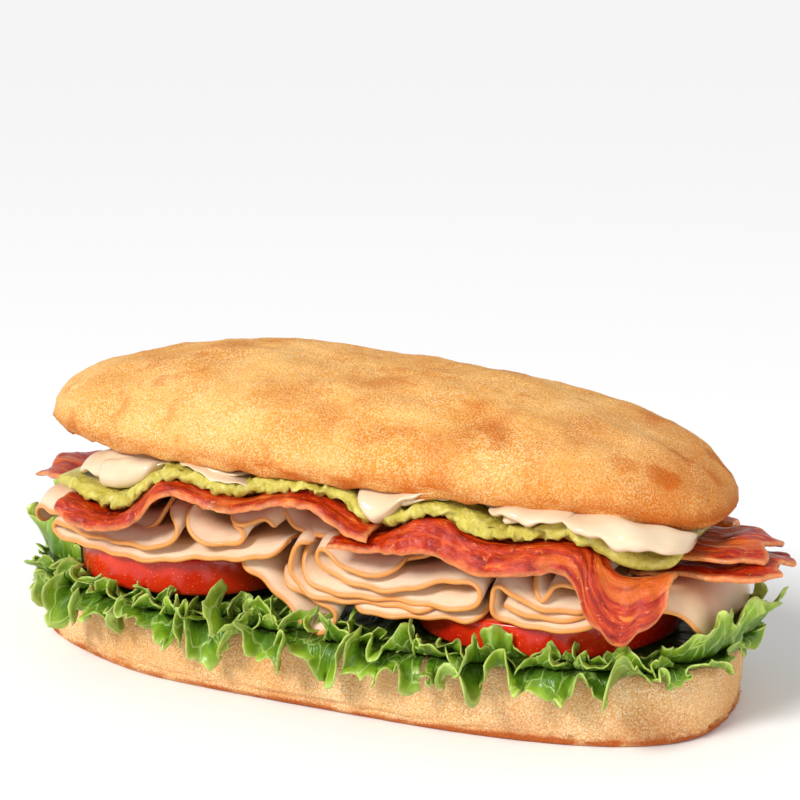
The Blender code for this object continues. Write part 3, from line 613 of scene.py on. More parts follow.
# line that each slice is folded along, seen from the front: along the loaf, height
TURKEY = {
    "turkey_long_fold": [
        (-9, 44.8), (-20, 43.5), (-30, 41), (-40, 39.3), (-50, 38.7), (-60, 38.5),
        (-70, 38.5), (-79, 38.7), (-86, 39.7), (-89.6, 41.8), (-88, 44.2), (-83, 44.2),
        (-76, 42.4), (-69, 41.5), (-60, 41.7), (-52, 42.7), (-46, 44.2), (-42.8, 47),
        (-44, 49.6), (-48, 50.2)],
    "turkey_small_roll": [
        (-41, 51.5), (-38.5, 48.6), (-34, 46.4), (-28, 45.7), (-23, 46.4),
        (-21.2, 48.3), (-23, 49.7), (-27, 49.3)],
    "turkey_curl": [(-27, 52), (-20, 53), (-14.5, 54.2), (-12.4, 52.2), (-12.9, 49.6)],
    "turkey_hanging_fold": [
        (-24, 40), (-17, 37.6), (-11, 33.6), (-5, 29.8), (-1, 26.4), (2.5, 24.6),
        (6, 25.6), (8.2, 28.4), (7.2, 31), (2, 32.8), (-5, 35.2), (-10, 37.8)],
    "turkey_outer_wrap": [
        (-0.6, 46.3), (-3, 48.2), (-5.2, 46.5), (-6, 42.5), (-5, 39.6), (-2, 36.8),
        (2, 35.3), (8, 34.9), (20, 34.9), (30, 35.1), (40, 35.5)],
    "turkey_big_fold": [
        (-3.2, 44.6), (-2.6, 41.6), (0, 39), (4, 37.5), (10, 37), (20, 36.8),
        (30, 36.9), (40, 37.3), (47, 37.9), (51, 39.6), (52.6, 42), (51.4, 44.4),
        (47, 44.9), (38, 43), (30, 41.1), (20, 40.1), (10, 40.7), (5.2, 42.6),
        (2.4, 45.8), (3.4, 48.4), (6.4, 48.2), (9.4, 46.2), (12.5, 44.6), (20, 43.8),
        (28, 44.6)],
    "turkey_low_slice": [
        (12, 32.9), (20, 32.9), (30, 33.1), (40, 33.5), (48, 33.9), (52.4, 34.8), (53.4, 36.2)],
    "turkey_side_fold": [
        (86, 37.2), (78, 35.8), (70, 35.4), (62, 35.1), (58, 35.3), (56.1, 37.5),
        (55.9, 41), (56.5, 44.6), (58.7, 46), (62, 44.4), (66, 42.4), (71, 40.7),
        (76, 40), (82, 40.4), (85, 41)],
    "turkey_side_loop": [
        (58.4, 37.2), (60, 39.4), (63, 39.6), (67, 38.4), (72, 37.7), (78, 37.9), (84, 39)],
    "turkey_tube": [
        (67, 47.2), (68, 44.8), (70.2, 42.8), (71.8, 44.6), (73.4, 46.8), (76.4, 47.8),
        (79.4, 46.4), (81.2, 43.4)],
    "turkey_end_drape": [
        (88, 41.4), (96, 41.4), (102, 40.4), (106.6, 37), (109.2, 32), (110, 27.4)],
    "turkey_end_upright": [
        (-99.6, 36.6), (-100.4, 41.4), (-99, 45.4), (-95, 47.1), (-89, 47.2), (-83, 46.6)],
    "turkey_inner_left": [
        (-44, 53.4), (-38, 54.4), (-30, 54.8), (-22, 55), (-16, 56), (-12, 55.4), (-9.4, 52.8),
        (-6, 50.8), (-1, 50.6), (6, 50.9)],
    "turkey_inner_right": [
        (12, 47.4), (18, 46.6), (26, 47), (33, 48.8), (38, 53), (43, 55.4), (48, 53.2),
        (52, 50.2), (57, 49.2), (63, 50), (70, 51.4), (78, 51.2), (82, 48.6), (84, 45.2)],
    "turkey_inner_fold": [
        (-66, 44), (-60, 44.6), (-54.6, 46.6), (-51.4, 51), (-48.6, 54.4)],
}


def carve_turkey(node, points, seed):
    """One slice, folded along its profile and running from the front rim to the back rim."""
    set_back = 7.0 if "inner" in node else 0.0
    length = walk(points, [0, 1])[1]
    u = shares(max(24, int(length / 1.0)), length)
    v = shares(26, 2 * TURKEY_REACH)
    line = walk(points, u)[0]
    reach = np.minimum(TURKEY_REACH - set_back, oval(line[:, 0], *TURKEY_PLAN) + 0.6)
    run = u * length
    front = reach + 0.9 * np.sin(run / 6.1 + seed) + 0.35 * np.sin(run / 1.7 + 2 * seed)
    back = reach + 0.9 * np.sin(run / 5.3 + 4 * seed) + 0.35 * np.sin(run / 1.9 + seed)
    tail = np.clip(1 - np.minimum(run, length - run) / 7.0, 0, 1)
    corner = 6.0 * (1 - np.sqrt(1 - tail ** 2))
    front, back = front - corner, back - corner
    y = -front[:, None] + (front + back)[:, None] * v[None, :]
    p = np.stack([np.broadcast_to(line[:, :1], y.shape), y, np.broadcast_to(line[:, 1:], y.shape)], -1)
    proud = np.abs(p[..., 1]) - (reach[:, None] - 8.0)
    p[..., 2] += 1.8 - 4.2 * ease(proud / 10.0) + 0.2 * lumps(p, 22, seed + 40)
    slice_piece(node.replace("turkey", "roast_turkey"), p, TURKEY_THICK, turkey, [node])


# ---------------------------------------------------------------- bacon
# a front rasher's lower rim and its crest: along the loaf, height
BACON_RIMS = {
    "left": [
        (-84, 48.6), (-80, 46.4), (-74, 45), (-66.5, 44.6), (-58, 46.3), (-52, 49.9),
        (-46.6, 56.2), (-42, 58.4), (-36.3, 57.8), (-29.4, 56.4), (-22.5, 56),
        (-16.5, 57), (-8.6, 59.2), (0, 60), (6, 59), (11, 56.6), (16, 53.8), (21, 52.8)],
    "right": [
        (9, 50.2), (15, 49.7), (22, 49.8), (30, 50.6), (38, 51.7), (44, 50.9), (50, 48.7),
        (56, 48.1), (62, 48.9), (70, 50.5), (76, 51), (80, 48.2), (83, 41), (86.7, 36.1),
        (90, 32.4), (93, 32), (96, 35.2), (99.5, 37.5), (102.5, 42.2)],
}
BACON_CRESTS = {
    "left": [
        (-84, 51), (-78, 49.7), (-74, 48.4), (-70, 47.6), (-65, 47.6), (-60, 49.6), (-55, 53.4),
        (-50, 58), (-46, 60.8), (-40, 61), (-33, 59.6), (-27, 58.3), (-22, 58), (-16, 59.2),
        (-10, 61), (-5, 62), (0, 62.4), (6, 61.4), (11, 59.2), (16, 56.6), (21, 55.2)],
    "right": [
        (9, 51.8), (15, 51.6), (22, 52.6), (26, 54.4), (30, 56.6), (35, 59.4), (42, 60),
        (48, 56.9), (55, 54.9), (63, 55), (72, 56.4), (79, 55.8), (84, 52.4), (88.6, 49.4),
        (93.4, 48.2), (97.3, 48), (102.5, 48.4)],
}
# share of a rasher's width that lies flat, the radius over which the rest rolls down, and how far
# out it may reach
BACON_FLAT = 0.4
BACON_ROUND = 6.5
BACON_REACH = 48.5
BACON_ENDS = {"left": (-84, 21), "right": (9, 102.5)}
# a middle rasher's start and end, its two edges, and its height along the loaf
MIDDLE_BACON = {
    "bacon_middle_left": (-112, 18, -19, 17, [
        (-112, 49.4), (-104, 50.4), (-96, 49.8), (-90, 50.4), (-84, 51), (-78, 50), (-74, 49),
        (-70, 48.6), (-65, 48.6), (-60, 50), (-55, 53.4), (-50, 58), (-46, 60.8), (-40, 61),
        (-33, 59.6), (-27, 58.3), (-22, 58), (-16, 59.2), (-10, 61), (-5, 62), (0, 62.4),
        (6, 61.4), (11, 59.2), (18, 56)]),
    "bacon_middle_right": (24, 122, -19, 12, [
        (24, 53.6), (30, 56.6), (35, 59.4), (42, 60), (48, 56.9), (55, 54.9), (63, 55),
        (72, 56.4), (79, 55.6), (84, 52.4), (90, 51.2), (98, 51), (106, 51), (114, 52.6),
        (122, 52)]),
    "bacon_end_right": (86, 127, -21, 8, [
        (86, 44.6), (94, 45.4), (102, 46.8), (110, 47), (118, 48.4), (127, 48.8)]),
}


def fry_bacon(node, middle, seed):
    """A rasher: gently blistered, unevenly thick across its width, with a crisp uneven rim."""
    blister = 0.16 * lumps(middle, 7, seed, 2) + 0.22 * lumps(middle * (0.25, 1.6, 1), 9, seed + 1)
    p = middle.copy()
    p[..., 2] += blister
    thick = 1.5 + 0.28 * lumps(middle * (0.2, 1.8, 0), 8, seed + 2)
    slice_piece(node.replace("bacon", "fried_bacon"), p, thick, bacon, [node])


def rolled_bacon(side, mirror, seed):
    """Rasher along the front or back that rolls down over the edge of the turkey."""
    start, end = BACON_ENDS[side]
    u = shares(int((end - start) * 1.5), end - start, 1.0)
    x = start + (end - start) * u
    rim_z = height(BACON_RIMS[side], x)
    crest_z = height(BACON_CRESTS[side], x)
    rim_y = np.minimum(BACON_REACH, oval(x, *BACON_PLAN) + BACON_ROUND) + 0.5 * np.sin(x / 4.3)
    rim_y += 0.5 * np.sin(x / 1.3 + seed) * np.sin(x / 5.0) + 0.25 * np.sin(x / 0.7)
    crest_y = rim_y - BACON_ROUND
    seam = np.minimum(21.0, rim_y - 9.5)
    if side == "right":
        seam = seam + (crest_y - 2.0 - seam) * ease((x - 80.0) / 8.0)
    w = np.concatenate([[0, 0.01, 0.03], np.linspace(0.06, 0.94, 34), [0.965, 0.98, 0.99, 1]])
    w, x2 = np.meshgrid(w, x)
    turn = math.pi / 2 * np.clip((w - BACON_FLAT) / (1 - BACON_FLAT), 0, 1)
    y = np.where(w < BACON_FLAT, seam[:, None] + (crest_y - seam)[:, None] * w / BACON_FLAT,
                 crest_y[:, None] + BACON_ROUND * np.sin(turn))
    z = crest_z[:, None] - (crest_z - rim_z)[:, None] * (1 - np.cos(turn))
    fry_bacon(("bacon_front_" if mirror < 0 else "bacon_back_") + side,
              np.stack([x2, mirror * y, z], -1), seed)


def middle_bacon(node, spec, seed):
    """Rasher along the middle, with its wavy tip sticking out at the end."""
    start, end, low_y, high_y, profile = spec
    u = shares(int((end - start) * 1.1), end - start, 1.0)
    v = shares(26, high_y - low_y, 1.0)
    x = (start + (end - start) * u)[:, None] + 0 * v[None, :]
    close = 1 - 0.28 * ease(np.abs(u - 0.5) * 10 - 4)[:, None]
    y = low_y + (high_y - low_y) * (0.5 + (v[None, :] - 0.5) * close)
    y = y + 0.8 * np.sin(x / 7) + 0.5 * np.sin(x / 2.1) * (v[None, :] - 0.5)
    z = height(profile, x)
    proud = ease((x - 104) / 16) + ease((-94 - x) / 14)
    z = z + proud * 1.3 * np.sin((v[None, :] - 0.3) * 5 + x / 9)
    x = x + proud * 1.6 * np.sin(v[None, :] * 9 + seed) * ease(np.abs(u - 0.5)[:, None] * 20 - 9)
    fry_bacon(node, np.stack([x, y, z], -1), seed)


# ---------------------------------------------------------------- avocado and mayonnaise
# spreads along the loaf: heights, the avocado's depth, and where mayonnaise spills out
AVOCADO_UNDERSIDE = [
    (-92, 52.6), (-84, 52.4), (-78, 51.4), (-74, 50.4), (-70, 49.9), (-65, 49.9), (-60, 51.4),
    (-55, 54.9), (-50, 59.4), (-46, 62.1), (-40, 62.3), (-33, 60.9), (-27, 59.6), (-22, 59.3),
    (-16, 60.5), (-10, 62.3), (-5, 63.3), (0, 63.7), (6, 62.7), (11, 60.5), (16, 58),
    (21, 56.6), (24, 56.2), (26.5, 56.6), (30, 58.2), (35, 60.8), (42, 61.4), (48, 58.4),
    (55, 56.3), (63, 56.3), (72, 57.7), (79, 57.2), (84, 54.4), (88.6, 51.2), (93.4, 49.7),
    (98, 49.5), (104, 49.9)]
AVOCADO_DEPTH = [
    (-92, 3.2), (-84, 3.8), (-74, 4.2), (-65, 4.6), (-55, 4.2), (-47, 3.4), (-40, 3.2),
    (-33, 3.6), (-27, 4.2), (-20, 4.4), (-12, 3.4), (-5, 2.8), (0, 2.4), (6, 2.8), (12, 4),
    (20, 4.4), (27, 4.4), (33, 3.8), (38, 3.4), (43, 3.2), (50, 4.2), (60, 4.2), (70, 4.2),
    (80, 4.4), (88, 4.6), (95, 3.4), (104, 3)]
MAYO_TOP = [
    (-84, 59), (-76, 61.5), (-68, 63.5), (-58, 64.8), (-50, 65.4), (-40, 66.9), (-30, 66.2),
    (-20, 65.6), (-10, 66.8), (0, 67.4), (8, 66.8), (16, 65.4), (26, 65.2), (36, 65.6),
    (44, 66), (52, 64), (60, 63.4), (68, 63.6), (76, 63.4), (84, 61.6), (92, 59.4), (100, 57.0)]
MAYO_SPILLS = [(-74, -50), (-38, -20), (16, 44), (55, 76), (78, 100)]


def avocado_low(x, y):
    """Height of the avocado's underside, lifted over the middle rashers at the right."""
    z = height(AVOCADO_UNDERSIDE, x)
    raised = ease((x - 77.0) / 5.0) * ease((y + 26.0) / 5.0)
    return z + (np.maximum(z, 53.3) - z) * raised


def avocado_high(x, y):
    """Height of the avocado's top."""
    return avocado_low(x, y) + height(AVOCADO_DEPTH, x)


def avocado_rim(x, side):
    """How far out the avocado reaches, to the front (-1) or the back (1)."""
    return np.minimum(44.6, oval(x, *SPREAD_PLAN) + 2.6) + 0.5 * np.sin(x / 3.7 + side)


def mayo_rim(x, side):
    """How far out the mayonnaise reaches: further where it spills."""
    spill = np.max([ease((x - a) / 4.0) * ease((b - x) / 4.0) for a, b in MAYO_SPILLS], axis=0)
    return np.minimum(33.0 + 9.6 * spill, oval(x, *SPREAD_PLAN) + 0.5)


def mayo_low(x, y):
    """Height of the mayonnaise's underside."""
    return avocado_high(x, y) + 0.4 + 0.7 * ease((x - 70.0) / 7.0)


def mayo_high(x, y):
    """Height of the mayonnaise's top, against the lid."""
    return np.maximum(mayo_low(x, y) + 0.8, height(MAYO_TOP, x))


def spread(name, node, material, start, end, rim, low, high, knead, round_mm):
    """Soft layer between two surfaces, with rounded rims, running front to back."""
    stations = start + (end - start) * shares(int((end - start) / 0.9), end - start, 2.0)
    v = shares(60, 84.0, 5.0)
    rings = []
    for x in stations:
        xs = np.full(len(v), x)
        y = -rim(xs, -1) + (rim(xs, -1) + rim(xs, 1)) * v
        edge = np.minimum(np.minimum(y - y[0], y[-1] - y), min(x - start, end - x) + 0.05)
        open_by = np.sqrt(1 - (1 - np.clip(edge / round_mm, 0, 1)) ** 2)
        lo, hi = low(xs, y), high(xs, y)
        mid = (lo + hi) / 2
        bottom = np.stack([xs, y, mid - (mid - lo) * open_by], -1)
        top = np.stack([xs, y, mid + (hi - mid) * open_by], -1)
        rings.append(np.vstack([bottom, top[::-1][1:-1]]))
    rings = np.array(rings)
    rings = rings + knead(rings)
    skinned(name, rings, material, [node])


def knead_avocado(p):
    """Mashed lumps, strongest at the rims where nothing presses on them."""
    free = ease((np.abs(p[..., 1]) - 34) / 6)[..., None]
    out = np.stack([0.5 * lumps(p, 5, 61), 0.9 * lumps(p, 4.2, 62, 2) + 1.1 * lumps(p, 14, 65),
                    0.55 * lumps(p, 3.6, 63, 2) + 0.6 * lumps(p, 12, 66)], -1)
    return out * free


def knead_mayo(p):
    """Soft lumps, fading to nothing under the lid."""
    free = ease((np.abs(p[..., 1]) - 30) / 8)[..., None]
    out = np.stack([0.3 * lumps(p, 14, 71), 0.7 * lumps(p, 11, 72), 0.25 * lumps(p, 9, 73)], -1)
    return out * free


# mayonnaise squeezed out over the avocado: along, underside, top, how far out its face is
MAYO_DEPTH = 6.0
DOLLOPS = {
    "front_left": [
        (-84, 57, 58, 33), (-80, 57.4, 62, 35.5), (-74, 57.4, 64.4, 37.6), (-68, 57.6, 65.4, 38.4),
        (-62, 59, 65.8, 39), (-56, 61.6, 66, 39), (-50, 64.4, 66.4, 38), (-46, 66, 66.8, 37)],
    "front_thin": [
        (-44, 66.2, 67, 42), (-40, 66, 67.8, 43.6), (-34, 64.8, 66.8, 44.4), (-28, 63, 65.2, 44.8),
        (-24, 62.2, 64.4, 45.2), (-20, 62.6, 64, 45), (-17, 63.6, 64.2, 44)],
    "front_fold": [
        (15, 65, 66.4, 42.4), (16.5, 61.6, 67, 45), (19, 59, 66.8, 46.4), (22, 58.1, 66.4, 46.8),
        (25, 59.2, 66.4, 46.6), (28, 61.8, 66.8, 45.8), (31, 64.2, 67.4, 45), (35, 66, 68, 44.4),
        (40, 66.8, 68, 44), (45, 67, 67.6, 42.6)],
    "front_smear": [
        (53, 63.4, 65.6, 42), (57, 61.8, 66, 43.4), (61, 62.2, 66.2, 43.8), (66, 61.2, 66, 43.6),
        (71, 62, 66, 43), (76, 62.6, 65.4, 41.6)],
    "front_right": [
        (71, 62.6, 65, 40), (76, 61.2, 65.2, 41.6), (81, 59.8, 65, 42.2), (85, 60, 64.4, 41.8),
        (89, 57.6, 64, 41), (94, 57.2, 63, 39.2), (98, 55.4, 61.8, 36.6), (102, 55, 60.4, 32.6),
        (105, 55, 59.4, 28)],
    "back_left": [
        (-66, 62.6, 64, 42.4), (-60, 60.6, 65.6, 44.4), (-52, 62, 66.4, 45), (-44, 64.6, 67, 44),
        (-38, 66.2, 67.2, 42)],
    "back_right": [
        (30, 64.8, 66, 42), (36, 63.4, 67, 44), (44, 61.6, 66.4, 45), (52, 61, 65, 44.6),
        (60, 62, 63.6, 42)],
}


def squeeze_mayo(name, rows, seed):
    """A smooth fold of mayonnaise lying over the rim, drawn as rounds across the loaf."""
    line = rounded(rows, 9)
    angle = np.linspace(0, 2 * math.pi, 40, endpoint=False)
    x, low, high, face = (line[:, k, None] for k in range(4))
    side = 1 if "back" in name else -1
    tip = np.sqrt(np.clip(np.sin(math.pi * np.linspace(0.01, 0.99, len(line))), 0, 1))[:, None] ** 0.35
    low = low + 0.5 * np.sin(x / 1.9 + seed) + 0.35 * np.sin(x / 0.9)
    half = np.maximum(high - low, 0.8) / 2 * tip
    y = face - MAYO_DEPTH + MAYO_DEPTH * np.cos(angle) * tip
    z = (low + high) / 2 + half * np.sin(angle) - 0.35 * half * np.cos(angle)
    p = np.stack([np.broadcast_to(x, y.shape), side * y, z], -1)
    p = p + np.stack([0.3 * lumps(p, 14, seed, 1), 0.5 * lumps(p, 13, seed + 1, 1),
                      0.5 * lumps(p, 12, seed + 2, 1)], -1)
    skinned("mayonnaise_fold_" + name, p, mayo, [])


# ---------------------------------------------------------------- lettuce
LEAF_THICK = 0.55
TIP_THICK = 0.5
# stretch of the loaf that each leaf covers, and the heights at which leaves and tips lie
LEAVES = {"lettuce_left": (-112, -38.9), "lettuce_middle": (-37.6, 37.6), "lettuce_right": (38.9, 112)}
BED = 21.95
TIP_BED = 22.9
BEND_STEPS = 24


def rim_run():
    """Length round the rim on which the leaves fold over, and its points."""
    angle = np.linspace(-math.pi / 2, 1.5 * math.pi, 2881)
    x, y = oval_ring(angle, *RIM_PLAN)
    y = rounder_corner(x, y)
    run = np.concatenate([[0], np.cumsum(np.hypot(np.diff(x), np.diff(y)))])
    return run, x, y


RUN, RIM_X, RIM_Y = rim_run()


def rim_place(run):
    """Point on the rim and the direction straight out from it."""
    run = np.mod(run, RUN[-1])
    x = np.interp(run, RUN, RIM_X)
    y = np.interp(run, RUN, RIM_Y)
    length, width, bluntness = ROLL_PLAN
    gx = np.sign(x) * np.abs(x / length) ** (bluntness - 1) / length
    gy = np.sign(y) * np.abs(y / width) ** (bluntness - 1) / width
    size = np.hypot(gx, gy)
    return x, y, gx / size, gy / size


def drift(run, size, seed):
    """Uneven wave along a leaf margin, about -1 to 1; size is its main spacing in mm."""
    rng = np.random.default_rng(int(seed * 100))
    total = 0.0
    for stretch, share in ((1.0, 0.8), (0.62, 0.45), (1.9, 0.5)):
        total = total + share * np.sin(run * 2 * math.pi / (size * stretch) + rng.uniform(0, 6.3))
    return total / 1.3


def teeth(run, spacing, seed):
    """Pointed teeth with hollow curves between them, like a holly edge, 0 to 1."""
    at = run / spacing + 0.45 * drift(run, 17, seed)
    k = np.floor(at)
    f = at - k

    def size(number):
        return 0.25 + 0.75 * np.mod(np.sin(number * 12.9898 + seed) * 4375.85, 1.0)

    return np.maximum(size(k) * np.clip(1 - 2 * f, 0, 1) ** 1.4,
                      size(k + 1) * np.clip(2 * f - 1, 0, 1) ** 1.4)


def frill(run, out, seed, reach=13.0, rise=-20.0, sway=58.0, fold=17.0, bed=BED, broad=False):
    """Leaf margin: out is 0 at the roll's rim and 1 at the edge; waves tighten towards the edge.

    reach is the margin's width in mm, rise its mean slope and sway its swing in degrees,
    and fold the spacing of its big waves in mm. A broad leaf is flatter and less pinched.
    """
    x, y, nx, ny = rim_place(run)
    end = ease((np.abs(x) - 88.0) / 18.0) * (not broad)
    slope = np.radians(rise + 28.0 * end + sway * np.clip(drift(run, fold, seed), -1.2, 1.2))
    curl = np.radians((16 if broad else 58) * drift(run, 8.3, seed + 1))
    pinch = np.radians((16 if broad else 52) * drift(run, 3.4, seed + 2))
    wide = reach * (1 + 0.26 * drift(run, 13, seed + 5)) * (1 - np.where(x < 0, 0.74, 0.55) * end)
    wide = wide - 1.8 + 4.0 * teeth(run, 3.3, seed + 4) + 1.5 * teeth(run, 1.5, seed + 6)
    d = np.zeros(np.broadcast(run, out).shape)
    z = np.full(d.shape, bed)
    for k in range(BEND_STEPS):
        s = out * (k + 0.5) / BEND_STEPS
        bend = (slope * ease((s - 0.06) / 0.45) + curl * ease((s - 0.3) / 0.5)
                + pinch * ease((s - 0.66) / 0.34))
        d = d + np.cos(bend) * out / BEND_STEPS * wide
        z = z + np.sin(bend) * out / BEND_STEPS * wide
    slide = (2.4 * drift(run, 11, seed + 7) * ease((out - 0.1) / 0.9)
             + 1.3 * drift(run, 5.1, seed + 8) * ease((out - 0.45) / 0.55)) * (0.4 if broad else 1)
    tx, ty = -ny, nx
    return np.stack([x + nx * d + tx * slide, y + ny * d + ty * slide, z], -1)


def puckered(p, out, seed):
    """Blistered leaf surface between the veins."""
    bump = 0.22 * lumps(p, 4.2, int(seed) + 90, 2)
    q = p.copy()
    q[..., 2] += bump * np.clip(1.2 - out, 0, 1)
    return q


def leaf_lay(run, out):
    """Painted place on a leaf in mm: along the rim, then outwards, for its veins."""
    across = 14.0 * np.clip(out, 0, None) + 40.0 * np.clip(out, None, 0)
    return np.stack(np.broadcast_arrays(run + 0 * out, across, 0 * out), -1)


def run_where(x, front):
    """Length round the rim at which it passes x on the front or the back."""
    side = (RIM_Y < 0) == front
    return RUN[side][np.argmin(np.abs(RIM_X[side] - x))]


def grow_end_leaf(node, seed):
    """Leaf over one end of the roll, frilled all the way round it."""
    start, end = LEAVES[node]
    right = end > 0
    inner = start if right else end
    first, last = run_where(inner, right), run_where(inner, not right)
    if last < first:
        last += RUN[-1]
    run = np.linspace(first, last, int((last - first) / 0.36))[:, None]
    outs = np.concatenate([[-1, -0.6, -0.3, -0.12], np.linspace(0, 1, 30)])[None, :]
    margin = frill(run, np.clip(outs, 0, 1), seed)
    x, y, _, _ = rim_place(run)
    heart = inner + math.copysign(3.0, inner)
    t = np.clip(-outs, 0, 1)
    flat = np.broadcast_arrays(x + (heart - x) * 0.55 * t, y * (1 - 0.92 * t), BED + 0 * t * x)
    flat = np.stack(flat, -1)
    p = np.where((outs > 0)[..., None], margin, flat)
    out = np.broadcast_to(np.clip(outs, 0, 1), p.shape[:2])
    slice_piece(node.replace("lettuce", "lettuce_leaf"), puckered(p, out, seed), LEAF_THICK, leaf, [node],
                {"out": out, "lay": leaf_lay(run, outs)})


def grow_middle_leaf(node, seed):
    """Leaf across the middle of the roll, frilled at its front and back."""
    start, end = LEAVES[node]
    x = np.linspace(start, end, 210)
    outs = np.concatenate([np.linspace(1, 0, 30), [-0.5, -1.0]])
    halves = []
    for front in (True, False):
        side = (RIM_Y < 0) == front
        order = np.argsort(RIM_X[side])
        run = RUN[side].copy()
        if front:
            run = np.where(run < RUN[-1] / 4, run + RUN[-1], run)
        at = np.interp(x, RIM_X[side][order], run[order])[:, None]
        p = frill(at, np.clip(outs, 0, 1)[None, :], seed)
        _, y, _, _ = rim_place(at)
        t = np.clip(-outs, 0, 1)[None, :]
        flat = np.stack(np.broadcast_arrays(x[:, None], y * (1 - t), BED + 0 * t), -1)
        halves.append(np.where((outs > 0)[None, :, None], p, flat))
    whole = np.concatenate([halves[0], halves[1][:, ::-1][:, 1:]], 1)
    outs = np.concatenate([outs, outs[::-1][1:]])
    out = np.broadcast_to(np.clip(outs, 0, 1), whole.shape[:2])
    slice_piece(node.replace("lettuce", "lettuce_leaf"), puckered(whole, out, seed), LEAF_THICK, leaf,
                [node], {"out": out, "lay": leaf_lay(x[:, None], outs)})


# torn leaf tips tucked in above the big leaves: first and last position along the loaf (or
# across it, for an end), the side, width, slope, swing, wave spacing and how far in it starts
LEAF_TIPS = {
    "right_end": (-29, 22, "right", 21, 64, 11, 34, 5),
    "left_end": (-30, 28, "left", 22, 84, 12, 31, 8),
}
# crests of the front and back tips: middle along the loaf, half span, height
TIP_CRESTS = [(-97, 7, 9), (-82, 8, 8), (-66, 8, 7), (-51, 7, 6), (-38, 8, 11), (-20, 7, 18), (-10, 5, 9),
              (12, 6, 8), (27, 9, 11), (40, 7, 7), (51, 8, 11), (64, 5, 6), (73, 5, 7), (84, 6, 7),
              (95, 7, 11)]
for crest, span, tall in TIP_CRESTS:
    for side, mirrored in (("front", crest), ("back", 0.96 * crest + 1.5)):
        LEAF_TIPS[f"{side}_{crest}"] = (mirrored - span, mirrored + span, side, tall + 3, 44, 40, 13, 0)
        inner = mirrored + 6.5
        LEAF_TIPS[f"{side}_{crest}_inner"] = (inner - 8, inner + 8, side, 0.6 * tall + 4.5, 52, 44, 12, 4)
for crest in (-24, -15, -6, 2, 10):
    for side in ("front", "back"):
        LEAF_TIPS[f"{side}_{crest}_deep"] = (crest - 7, crest + 7, side, 9, 50, 50, 12, 9)


def tuck_leaf_tip(name, spec, seed):
    """Torn tip that stands up from under the filling, tapered to both sides."""
    start, end, side, reach, rise, sway, fold, tuck = spec
    broad = side in ("left", "right")
    if not broad:
        first, last = sorted((run_where(start, side == "front"), run_where(end, side == "front")))
        if last - first > RUN[-1] / 2:
            first, last = last, first + RUN[-1]
    else:
        right = side == "right"
        half = (RIM_X > 0) == right
        ends = [RUN[half][np.argmin(np.abs(RIM_Y[half] - v))] for v in (start, end)]
        first, last = sorted(ends)
    run = np.linspace(first, last, int((last - first) / 0.46))[:, None]
    outs = np.concatenate([[-1, -0.5], np.linspace(0, 1, 22)])[None, :]
    shape = (seed, reach, rise, sway, fold, TIP_BED, broad)
    p = frill(run, np.clip(outs, 0, 1), *shape)
    taper = np.sin(math.pi * np.clip((run - first) / (last - first), 0.02, 0.98)) ** (0.3 if broad else 0.6)
    base = frill(run, np.zeros_like(outs), *shape)
    p = base + (p - base) * taper[..., None]
    x, y, nx, ny = rim_place(run)
    t = 5.0 * np.clip(-outs, 0, 1)
    inside = np.stack(np.broadcast_arrays(x - nx * t, y - ny * t, TIP_BED + 0 * t * x), -1)
    p = np.where((outs > 0)[..., None], p, inside)
    p = p - tuck * np.stack(np.broadcast_arrays(nx, ny, 0 * nx), -1)
    out = np.broadcast_to(np.clip(outs, 0, 1), p.shape[:2])
    slice_piece("lettuce_tip_" + name, puckered(p, out, seed), TIP_THICK, leaf, [],
                {"out": out, "lay": leaf_lay(run, out)})


bake_bottom_roll()
bake_lid()
cut_tomato("tomato_slice_left", "tomato_left", -57.0, 25.0, 37.0, 0.0)
cut_tomato("tomato_slice_right", "tomato_right", 57.0, 23.4, 33.0, 0.035)
for seed, (node, points) in enumerate(TURKEY.items()):
    carve_turkey(node, points, seed)
for seed, side in enumerate(("left", "right")):
    rolled_bacon(side, -1, 20 + seed)
    rolled_bacon(side, 1, 30 + seed)
for seed, (node, spec) in enumerate(MIDDLE_BACON.items()):
    middle_bacon(node, spec, 50 + seed)
spread("avocado_layer", "avocado_mash", avocado, -90.0, 103.0, avocado_rim,
       avocado_low, avocado_high, knead_avocado, 2.4)
spread("mayonnaise_layer", "mayonnaise", mayo, -79.0, 97.0, mayo_rim,
       mayo_low, mayo_high, knead_mayo, 3.0)
grow_end_leaf("lettuce_left", 1.0)
grow_middle_leaf("lettuce_middle", 2.0)
grow_end_leaf("lettuce_right", 3.0)
for seed, (name, rows) in enumerate(DOLLOPS.items()):
    squeeze_mayo(name, rows, 400 + 10 * seed)
for seed, (name, spec) in enumerate(LEAF_TIPS.items()):
    tuck_leaf_tip(name, spec, seed + 5.0)


# ---------------------------------------------------------------- studio
# name, kind, place in metres, size (the sun's in radians), strength
LAMPS = [("key", "SUN", (-0.28, -0.76, 0.72), 0.35, 2.1),
         ("fill", "AREA", (0.75, -0.62, 0.25), 0.8, 2.6),
         ("glint", "AREA", (-0.35, -0.95, 0.75), 0.18, 3.2)]
FLOOR_HALF = 20.0


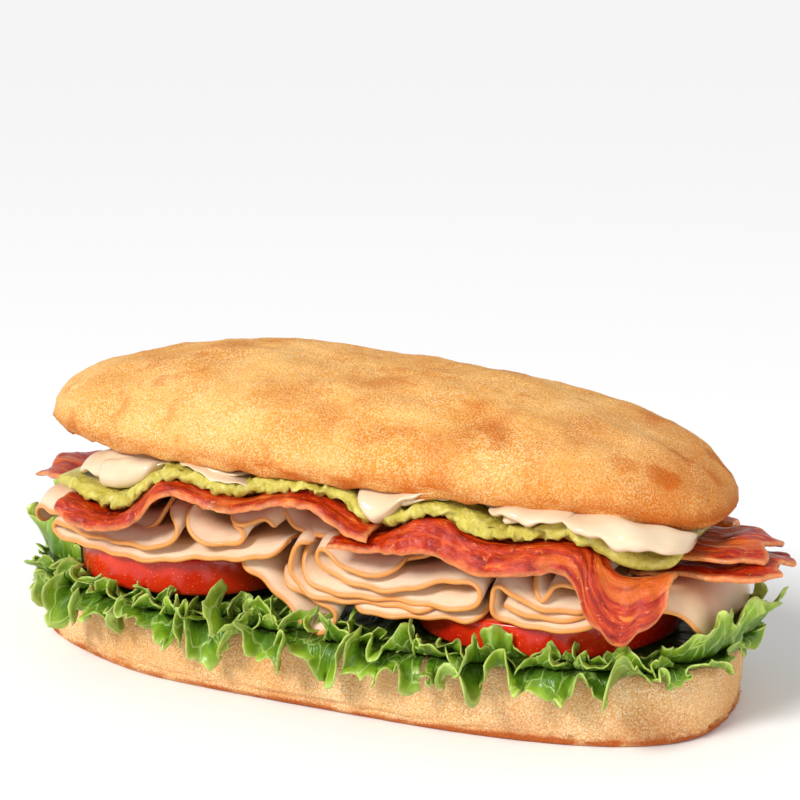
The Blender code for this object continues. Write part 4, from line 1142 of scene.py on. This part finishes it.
def studio():
    """Pale matt floor, even air light, a soft sun and two area lamps."""
    paper, _, _, _ = finish("pale_paper_sweep", {"Base Color": (0.96, 0.96, 0.96, 1), "Roughness": 0.9,
                                                 "Specular IOR Level": 0.0})
    mesh = bpy.data.meshes.new("sweep")
    corners = [(-FLOOR_HALF, -FLOOR_HALF, 0), (FLOOR_HALF, -FLOOR_HALF, 0), (FLOOR_HALF, FLOOR_HALF, 0),
               (-FLOOR_HALF, FLOOR_HALF, 0)]
    mesh.from_pydata(corners, [], [(0, 1, 2, 3)])
    mesh.materials.append(paper)
    floor = bpy.data.objects.new("sweep", mesh)
    floor.location.z = roll_low[2]
    bpy.context.scene.collection.objects.link(floor)
    world = bpy.data.worlds.new("studio_air")
    bpy.context.scene.world = world
    world.use_nodes = True
    air = world.node_tree.nodes["Background"]
    air.inputs["Color"].default_value = (1.0, 1.0, 1.0, 1)
    air.inputs["Strength"].default_value = 0.52
    middle = Vector((0, 0, 0.045))
    for name, kind, place, size, strength in LAMPS:
        lamp = bpy.data.lights.new(name, kind)
        if kind == "SUN":
            lamp.angle = size
        else:
            lamp.size = size
        lamp.energy = strength
        ob = bpy.data.objects.new(name, lamp)
        ob.location = place
        ob.rotation_euler = (middle - ob.location).to_track_quat("-Z", "Y").to_euler()
        bpy.context.scene.collection.objects.link(ob)


CAMERA_PLACE = (252.8, -518.4, 215.4)
CAMERA_AIM = (3.34, 10.77, 78.64)


def camera():
    """Long lens, a little above the food and to its right."""
    lens = bpy.data.cameras.new("camera")
    lens.lens = 90.3
    lens.sensor_width = 36.0
    lens.clip_end = 50
    eye = bpy.data.objects.new("camera", lens)
    eye.location = Vector(CAMERA_PLACE) * MM + Vector(HOME)
    aim = Vector(CAMERA_AIM) * MM + Vector(HOME)
    eye.rotation_euler = (aim - eye.location).to_track_quat("-Z", "Y").to_euler()
    bpy.context.scene.collection.objects.link(eye)
    bpy.context.scene.camera = eye


studio()
camera()
bpy.context.scene.view_settings.view_transform = "Standard"
